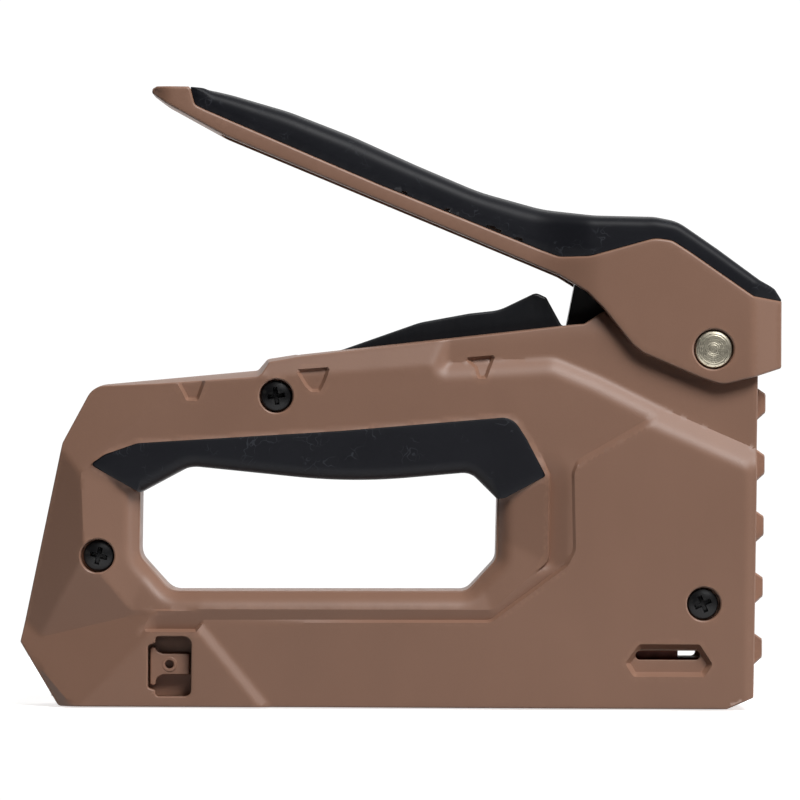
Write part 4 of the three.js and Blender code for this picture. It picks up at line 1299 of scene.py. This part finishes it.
@dataclass
class Lever:
    """The squeeze lever: a hollow handle that widens into two cheeks, and the rubber on its back."""

    handle: float = 12.8
    cheek: float = 16.5
    room: float = 9.8
    cheek_room: float = 13.1
    seat: float = 5.3
    seat_deep: float = 2.2
    lid: float = 1.45

    def side(self, p: Points) -> np.ndarray:
        """Half width of the lever before the rubber and the rivet's seat."""
        x, z = p.T
        wide = self.handle + (self.cheek - self.handle) * ease((x - 35) / 19)
        tip = np.sqrt(np.clip(1 - np.clip((-61.5 - x) / 6.4, 0, 1) ** 2, 0.02, 1))
        wide = np.where(x < -61.5, 5.5 + (self.handle - 5.5) * tip, wide)
        return smooth_min(wide, self.cheek - 0.52 * (x - 94.4), 0.25)

    def tan_face(self, p: Points) -> np.ndarray:
        """Half width of the tan moulding with the rivet's seat."""
        x, z = p.T
        h = self.side(p)
        radius = np.hypot(x - PIVOT[0], z - PIVOT[1])
        h = h - self.seat_deep * np.clip((self.seat + 0.08 - radius) / 0.08, 0, 1)
        return h - 0.3 * np.clip((self.seat + 0.5 - radius) / 0.4, 0, 1)

    def tan(self) -> None:
        """The tan moulding, open along its underside."""
        loop = outline([*reversed(RUBBER_LINE), *LEVER_FRONT, *LEVER_UNDER])
        lid_line = dense(outline_run([*RUBBER_LINE, LEVER_UNDER[-1]]), 1)
        front = dense(outline_run(LEVER_FRONT), 1)

        def inner(p: Points) -> np.ndarray:
            """Half width inside: nothing under the rubber, at the front and at the tip."""
            x, z = p.T
            room = self.room + (self.cheek_room - self.room) * (x > 46)
            shut = np.minimum(distance(p, lid_line, False), distance(p, front, False))
            shut = np.minimum(shut, (x + 50))
            return np.where(shut < self.lid, 0, np.minimum(room, self.side(p) - 1.6))

        end = inner(loop)
        circle = turned([(self.seat, 0), (self.seat + 0.1, 0), (self.seat + 0.5, 0)], PIVOT, 48)[0]
        rings = [circle[k * 48:(k + 1) * 48][:, [0, 2]] for k in range(3)]
        creases = [np.vstack([r, r[:1]]) for r in rings]
        creases.append(np.array([(94.5, z) for z in np.arange(88.6, 109, 1.0)]))
        shut = np.minimum(distance(loop, lid_line, False), distance(loop, front, False)) < 0.4
        lid_edges = []
        for by in (self.lid - 0.05, self.lid + 0.05):
            moved = loop - normals(loop) * by
            inside = shut & (distance(moved, loop) > by - 0.05) & (moved[:, 0] > -49)
            lid_edges += runs_of(moved, inside)
        relief = Relief([Rim(loop, end, 0.7)], self.tan_face, inner, creases, lid_edges, 1.2, 1.6)
        piece = mesh_object("lever_moulding", sided(relief.faces(), Side.BOTH), 28)
        dress(piece, Finish.LEVER_TAN, "lever", "lever")

    def rubber(self) -> None:
        """The rubber back, full and rounded along its top."""
        loop = outline([*LEVER_BACK, *RUBBER_LINE])
        line = dense(outline_run(RUBBER_LINE), 1)
        under = distance(loop, line, False)
        rounding = np.clip(0.42 * under, 0.3, 4.6 - 1.8 * ease((loop[:, 0] - 20) / 40))

        def face(p: Points) -> np.ndarray:
            """Half width of the rubber: proud of the tan, with a groove along the joint."""
            gap = distance(p, line, False)
            proud = -0.3 + 0.55 * ease(gap / 1.2)
            return np.minimum(self.side(p) + proud, self.cheek - 0.1)

        crown = np.where(under > 3, 0.7, 0.0) * ease((under - 3) / 3)
        relief = Relief([Rim(loop, 0.0, rounding, crown, steps=7)], face, None, [], [], 1.3)
        piece = mesh_object("lever_rubber", sided(relief.faces(), Side.BOTH), 40)
        dress(piece, Finish.RUBBER, "lever", "lever_grip")

    def rivet(self) -> None:
        """The pivot's head on the right and its cap on the left, both turned."""
        ramp = np.linspace(0, 1, 26)
        marks = 0.035 * np.sin(ramp * 5.0 * 2 * math.pi / 0.62) * (ramp > 0.12)
        face = [(4.45 * t, -16.34 + 0.16 * t**2 + m) for t, m in zip(ramp, marks)]
        rim = [(4.75, -16.1), (4.95, -15.8), (4.98, -14.6)]
        shank = [(4.0, -14.6), (4.0, 14.0), (0.0, 14.0)]
        piece = mesh_object("pivot_rivet", [turned([*face, *rim, *shank], PIVOT)], 30)
        dress(piece, Finish.RIVET, "lever", "pivot_pin")
        cap = [(r, -y) for r, y in [*face, *rim]] + [(0.0, 14.3)]
        piece = mesh_object("pivot_cover", [turned(cap, PIVOT)], 30)
        dress(piece, Finish.RIVET, "lever", "pivot_cap")

    def build(self) -> None:
        """Makes the lever's pieces."""
        self.tan()
        self.rubber()
        self.rivet()


# ---------------------------------------------------------------- rubber on the body


@dataclass
class BodyGrips:
    """The rubber on each side of the grip bar, wrapped round the opening's upper edge."""

    over: float = 15.65
    under: float = 13.3
    strip: float = 2.6
    wrap: float = 3.4

    def build(self) -> None:
        """Makes the right and the left grip."""
        loop = outline(GRIP)
        opening = dense(outline_run(OPENING_TOP), 0.9)
        lower = distance(loop, opening, False) < 0.8
        edge = ease((distance(loop, dense(outline_run(GRIP[5:]), 0.9), False)) / 6)
        rounding = np.where(lower, 0.5 + (self.wrap - 0.5) * edge, 0.5)

        def face(p: Points) -> np.ndarray:
            """Half width of the rubber, a little proud of the shell."""
            fall = 0.35 * np.exp(-distance(p, loop) / 0.7)
            return self.over + 0.3 * ease((p[:, 0] + 80) / 30) - fall

        def inner(p: Points) -> np.ndarray:
            """Half width of the back: the seat, and the lining towards the middle."""
            return np.where(distance(p, opening, False) > self.strip, self.under, HALF_GAP)

        end = np.where(lower, HALF_GAP, self.under)
        faces = Relief([Rim(loop, end, rounding, steps=7)], face, inner, [], [], 1.2, 1.6).faces()
        for side, name in ((Side.RIGHT, "right"), (Side.LEFT, "left")):
            piece = mesh_object(f"rubber_{name}", sided(faces, side), 40)
            dress(piece, Finish.RUBBER, "housing", f"body_grip_{name}")


# ---------------------------------------------------------------- stamped and turned steel


@dataclass
class DriveArm:
    """The folded steel arm between the lever's link and the lifter."""

    half: float = 6.5
    wall: float = 1.5
    pin: Corner = (-21, 88.5)
    coined: float = 3.6
    line: Sequence[Corner] = (
        (-27.3, 90.4, 1),
        (-26.7, 94.2, 1),
        (-16.3, 95.9, 12),
        (5.1, 103.5, 20),
        (18.5, 106, 20),
        (26.5, 106.9, 12),
        (36.4, 111.7, 2.2),
        (39.2, 110.4, 1.2),
        (43.4, 102.8, 1),
        (51.5, 103, 3),
        (54.8, 98, 2),
        (55.5, 92, 4),
        (60.5, 72, 1),
        (60.5, 67.5, 1),
        (52.6, 67.5, 1),
        (44, 88.6, 2),
        (36, 89.6, 10),
        (-14, 84.3, 4),
        (-21, 83.2, 4),
        (-26, 85, 2),
    )
    hollow: Sequence[Corner] = (
        (-30, 60),
        (-30, 120),
        (18.5, 120),
        (18.5, 104.2),
        (26.8, 105),
        (34.5, 108.4),
        (37.6, 108.4),
        (42, 130),
        (75, 130),
        (75, 69.5),
        (50, 69.5),
        (40, 60),
    )

    def build(self) -> None:
        """Makes the arm."""
        loop = outline(self.line)
        room = outline(self.hollow)
        inside = self.half - self.wall
        pin = np.array(self.pin)

        def face(p: Points) -> np.ndarray:
            """Half width of the walls, coined a little round the pin."""
            radius = np.hypot(*(p - pin).T)
            return self.half - 0.3 * np.exp(-(((radius - self.coined) / 0.5) ** 2))

        def inner(p: Points) -> np.ndarray:
            """Half width of the hollow: nothing where the walls are joined by a web."""
            return np.where(distance(p, room) > 0, inside, 0.0)

        relief = Relief([Rim(loop, inner(loop), 0.7)], face, inner, [], [], 1.4, 1.2)
        piece = mesh_object("arm", sided(relief.faces(), Side.BOTH), 34)
        dress(piece, Finish.ARM, "arm", "drive_arm")


@dataclass
class Screws:
    """Three pan-head screws with cross recesses, sunk in the right shell."""

    radius: float = 4.1
    dome: float = 0.75
    arm_half: float = 0.62
    arm_long: float = 2.35
    depth: float = 1.5
    head: float = 2.6
    shank_radius: float = 1.9
    shank_long: float = 24.4
    point: float = 1.4
    places: Sequence[tuple[str, Corner, float, float]] = (
        ("top", (-33.4, 83.5), 14.6, 8.0),
        ("rear", (-80.9, 40.4), 14.0, -14.0),
        ("front", (81.3, 28.2), 15.9, 24.0),
    )

    def cross(self, spot: Corner, turn: float, by: float) -> Points:
        """The recess' plus-shaped outline, moved in by a distance."""
        w, far = self.arm_half - by, self.arm_long - by
        quarter = [(far, w), (w, w)]
        corners = []
        for k in range(4):
            c, s = math.cos(k * math.pi / 2), math.sin(k * math.pi / 2)
            start = [(far, -w), *quarter]
            corners += [(c * a - s * b, s * a + c * b) for a, b in start]
        c, s = math.cos(math.radians(turn)), math.sin(math.radians(turn))
        points = [(spot[0] + c * a - s * b, spot[1] + s * a + c * b) for a, b in corners]
        return outline(points, 0.4)

    def build(self) -> None:
        """Makes the screws."""
        a = np.linspace(0, 2 * math.pi, 56, endpoint=False)
        for name, spot, top, turn in self.places:
            rim, floor = self.cross(spot, turn, 0.0), self.cross(spot, turn, 0.22)

            def face(p: Points) -> np.ndarray:
                """Half width of the head: a low dome with the recess sunk in it."""
                radius = np.hypot(p[:, 0] - spot[0], p[:, 1] - spot[1])
                sunk = self.depth * np.clip(distance(p, rim) / 0.22, 0, 1)
                return top - self.dome * (radius / self.radius) ** 2 - sunk

            loop = np.array(spot) + self.radius * np.column_stack([np.cos(a), np.sin(a)])
            under = top - self.head
            creases = [np.vstack([c, c[:1]]) for c in (rim, floor)]
            relief = Relief([Rim(loop, under, 0.45)], face, level_plane(under), creases, [], 0.45, 1.2)
            top_end, foot = -under - 0.2, self.shank_long - under
            shank = [
                (0.0, top_end),
                (self.shank_radius, top_end),
                (self.shank_radius, foot - self.point),
                (self.shank_radius - 0.8, foot),
                (0.0, foot),
            ]
            parts = [*sided(relief.faces(), Side.RIGHT), turned(shank, spot, 32)]
            dress(mesh_object(f"head_{name}", parts, 34), Finish.SCREW, "housing", f"screw_{name}")


@dataclass
class Latches:
    """The two spring latches of the magazine, pressed together to release it."""

    bar: Sequence[Corner] = (
        (-67.0, 5.7, 0.9),
        (-65.6, 5.7, 0.5),
        (-65.2, 7.6, 1.2),
        (-63.6, 8.5, 0.8),
        (-56.3, 8.5, 0.3),
        (-56.3, 14.1, 0.3),
        (-63.6, 14.1, 0.8),
        (-65.2, 14.8, 1.2),
        (-65.6, 15.8, 0.5),
        (-67.0, 15.8, 0.9),
    )
    back: Sequence[Corner] = ((-69.5, 2.6, 1), (-54, 2.6, 1), (-54, 19.2, 1), (-69.5, 19.2, 1))
    hub: Corner = (-61.8, 11.3)
    face: float = 13.4
    floor: float = 9.2
    under: float = 8.55

    def build(self) -> None:
        """Makes both latches."""
        bar, back = outline(self.bar, 0.5), outline(self.back, 0.8)
        hub = np.array(self.hub)

        def face(p: Points) -> np.ndarray:
            """Half width of the bar: sloping down to its nose end, with a hole in its middle."""
            radius = np.hypot(*(p - hub).T)
            h = self.face - 0.06 * (p[:, 0] + 67)
            return h - 3.0 * np.clip((1.2 - radius) / 0.12, 0, 1)

        a = np.linspace(0, 2 * math.pi, 33)
        circle = np.column_stack([np.cos(a), np.sin(a)])
        creases = [hub + circle * r for r in (1.08, 1.2)]
        top = Relief([Rim(bar, self.floor, 0.4)], face, level_plane(self.floor), creases, [], 0.6, 1.5)
        floor, under = level_plane(self.floor), level_plane(self.under)
        plate = Relief([Rim(back, self.under, 0.3)], floor, under, [], [], 1.5)
        for side, name in ((Side.RIGHT, "right"), (Side.LEFT, "left")):
            y = self.face - 0.3
            ring = [(1.15, y - 1), (1.15, y + 0.05), (1.3, y + 0.2), (1.85, y + 0.2), (2.1, y), (2.1, y - 1)]
            collar = turned([(r, side.value * w) for r, w in [*ring, ring[0]]], self.hub, 40)
            parts = [*sided(top.faces(), side), *sided(plate.faces(), side), collar]
            piece = mesh_object(f"latch_{name}", parts, 34)
            dress(piece, Finish.TAN, f"latch_{name}", f"latch_button_{name}")


@dataclass
class Bevels:
    """Small rounded edges on the pieces that keep their designed shape."""

    width: float = 0.22
    names: Sequence[str] = (
        "link", "nose_plate", "plunger_bumper", "link_top_pin", "link_foot_pin", "arm_pin", "lifter_pin",
        "spring_seat", "lifter", "plunger", "driver_blade", "magazine_tray", "staple_rail",
        "magazine_end_cap", "cap_pin", "pusher_rod", "pusher",
    )

    def build(self) -> None:
        """Adds the modifiers."""
        for name in self.names:
            piece = frame["nodes"][name]
            bevel = piece.modifiers.new("edges", "BEVEL")
            bevel.width = self.width * MM
            bevel.segments = 2
            bevel.limit_method = "ANGLE"
            bevel.angle_limit = math.radians(38)
            bevel.harden_normals = True


# ---------------------------------------------------------------- studio


@dataclass
class Studio:
    """The pale floor, the soft lights round the tool and the camera at its side."""

    distance: float = 1.55  # camera from the tool's near side, m
    across: float = 0.2144  # width of the view there, m
    centre: tuple[float, float] = (-0.000157, 0.08256)
    roll: float = 0.239  # degrees
    near_side: float = -0.0165
    sensor: float = 36.0

    def camera(self) -> None:
        """A long lens square to the tool's right side."""
        data = bpy.data.cameras.new("camera")
        data.sensor_width = self.sensor
        data.lens = self.sensor * self.distance / self.across
        data.clip_start, data.clip_end = 0.1, 20
        camera = bpy.data.objects.new("camera", data)
        camera.location = (self.centre[0], self.near_side - self.distance, self.centre[1])
        camera.rotation_euler = (math.radians(90), math.radians(-self.roll), 0)
        bpy.context.scene.collection.objects.link(camera)
        bpy.context.scene.camera = camera

    def floor(self) -> None:
        """A white disc under the tool."""
        bm = bmesh.new()
        bmesh.ops.create_circle(bm, cap_ends=True, segments=96, radius=0.32)
        mesh = bpy.data.meshes.new("floor")
        bm.to_mesh(mesh)
        bm.free()
        floor = bpy.data.objects.new("floor", mesh)
        floor.location.z = -0.0004
        floor.visible_diffuse = False
        bpy.context.scene.collection.objects.link(floor)
        s = Shader("white_floor")
        grain = s.noise(60, 2)
        colour = s.mix(grain, (0.9, 0.9, 0.9, 1), (0.94, 0.94, 0.94, 1))
        floor.data.materials.append(
            s.finish(Base_Color=colour, Roughness=0.8, Emission_Color=(1, 1, 1, 1), Emission_Strength=0.62)
        )
        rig.stage(floor)

    def lamp(self, name: str, spot: tuple, size: tuple, power: float) -> None:
        """A soft box aimed at the middle of the tool."""
        data = bpy.data.lights.new(name, "AREA")
        data.shape = "RECTANGLE"
        data.size, data.size_y = size
        data.energy = power
        lamp = bpy.data.objects.new(name, data)
        lamp.location = spot
        lamp.rotation_mode = "QUATERNION"
        lamp.rotation_quaternion = (Vector((0, 0, 0.08)) - Vector(spot)).to_track_quat("-Z", "Y")
        bpy.context.scene.collection.objects.link(lamp)

    def surroundings(self) -> None:
        """A white backdrop, dimmer towards the front than behind the tool."""
        world = bpy.data.worlds.new("studio")
        bpy.context.scene.world = world
        world.use_nodes = True
        tree = world.node_tree
        tree.nodes.clear()
        place = tree.nodes.new("ShaderNodeTexCoord")
        split = tree.nodes.new("ShaderNodeSeparateXYZ")
        tree.links.new(place.outputs["Generated"], split.inputs[0])
        ramp = tree.nodes.new("ShaderNodeMapRange")
        ramp.interpolation_type = "SMOOTHSTEP"
        for key, value in {"From Min": -0.12, "From Max": 0.6, "To Min": 0.015, "To Max": 0.95}.items():
            ramp.inputs[key].default_value = value
        tree.links.new(split.outputs["Y"], ramp.inputs["Value"])
        tent = tree.nodes.new("ShaderNodeBackground")
        tree.links.new(ramp.outputs["Result"], tent.inputs["Color"])
        tent.inputs["Strength"].default_value = 1.0
        backdrop = tree.nodes.new("ShaderNodeBackground")
        backdrop.inputs["Color"].default_value = (1, 1, 1, 1)
        backdrop.inputs["Strength"].default_value = 1.05
        path = tree.nodes.new("ShaderNodeLightPath")
        mix = tree.nodes.new("ShaderNodeMixShader")
        tree.links.new(path.outputs["Is Camera Ray"], mix.inputs[0])
        tree.links.new(tent.outputs[0], mix.inputs[1])
        tree.links.new(backdrop.outputs[0], mix.inputs[2])
        end = tree.nodes.new("ShaderNodeOutputWorld")
        tree.links.new(mix.outputs[0], end.inputs["Surface"])

    def build(self) -> None:
        """Sets up everything that isn't part of the tool."""
        self.camera()
        self.floor()
        self.surroundings()
        self.lamp("key_box", (0.5, -0.95, 1.2), (0.7, 0.7), 24)
        self.lamp("nose_box", (1.5, -0.35, 0.3), (0.4, 0.8), 5)
        bpy.context.scene.view_settings.view_transform = "Standard"


NODE_FINISHES: dict[Finish, tuple[str, ...]] = {
    Finish.TAN: ("magazine_end_cap",),
    Finish.RUBBER: ("plunger_bumper",),
    Finish.LINK: ("link",),
    Finish.STEEL: (
        "nose_plate", "link_top_pin", "link_foot_pin", "arm_pin", "lifter_pin", "spring_seat", "lifter",
        "plunger", "driver_blade", "blade_rivet_lower", "blade_rivet_upper", "magazine_tray", "staple_rail",
        "cap_pin", "pusher_rod",
    ),
    Finish.SPRING: (
        "main_spring", "return_spring", "latch_spring_right", "latch_spring_left", "pusher_spring",
    ),
    Finish.RED: ("pusher",),
}


def main() -> None:
    """Builds the tool, sub-assembly by sub-assembly."""
    logging.basicConfig(level=logging.INFO, format="%(message)s")
    Studio().build()
    for finish, names in NODE_FINISHES.items():
        for name in names:
            dress(frame["nodes"][name], finish)
    Shells().build()
    BodyGrips().build()
    Lever().build()
    DriveArm().build()
    Screws().build()
    Latches().build()
    Bevels().build()
    low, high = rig.bounds()
    sizes = {"cad": [list(v) for v in CAD_BOX], "visual": [list(low), list(high)]}
    SIZE_FILE.write_text(json.dumps(sizes))


if __name__ == "__main__":
    main()
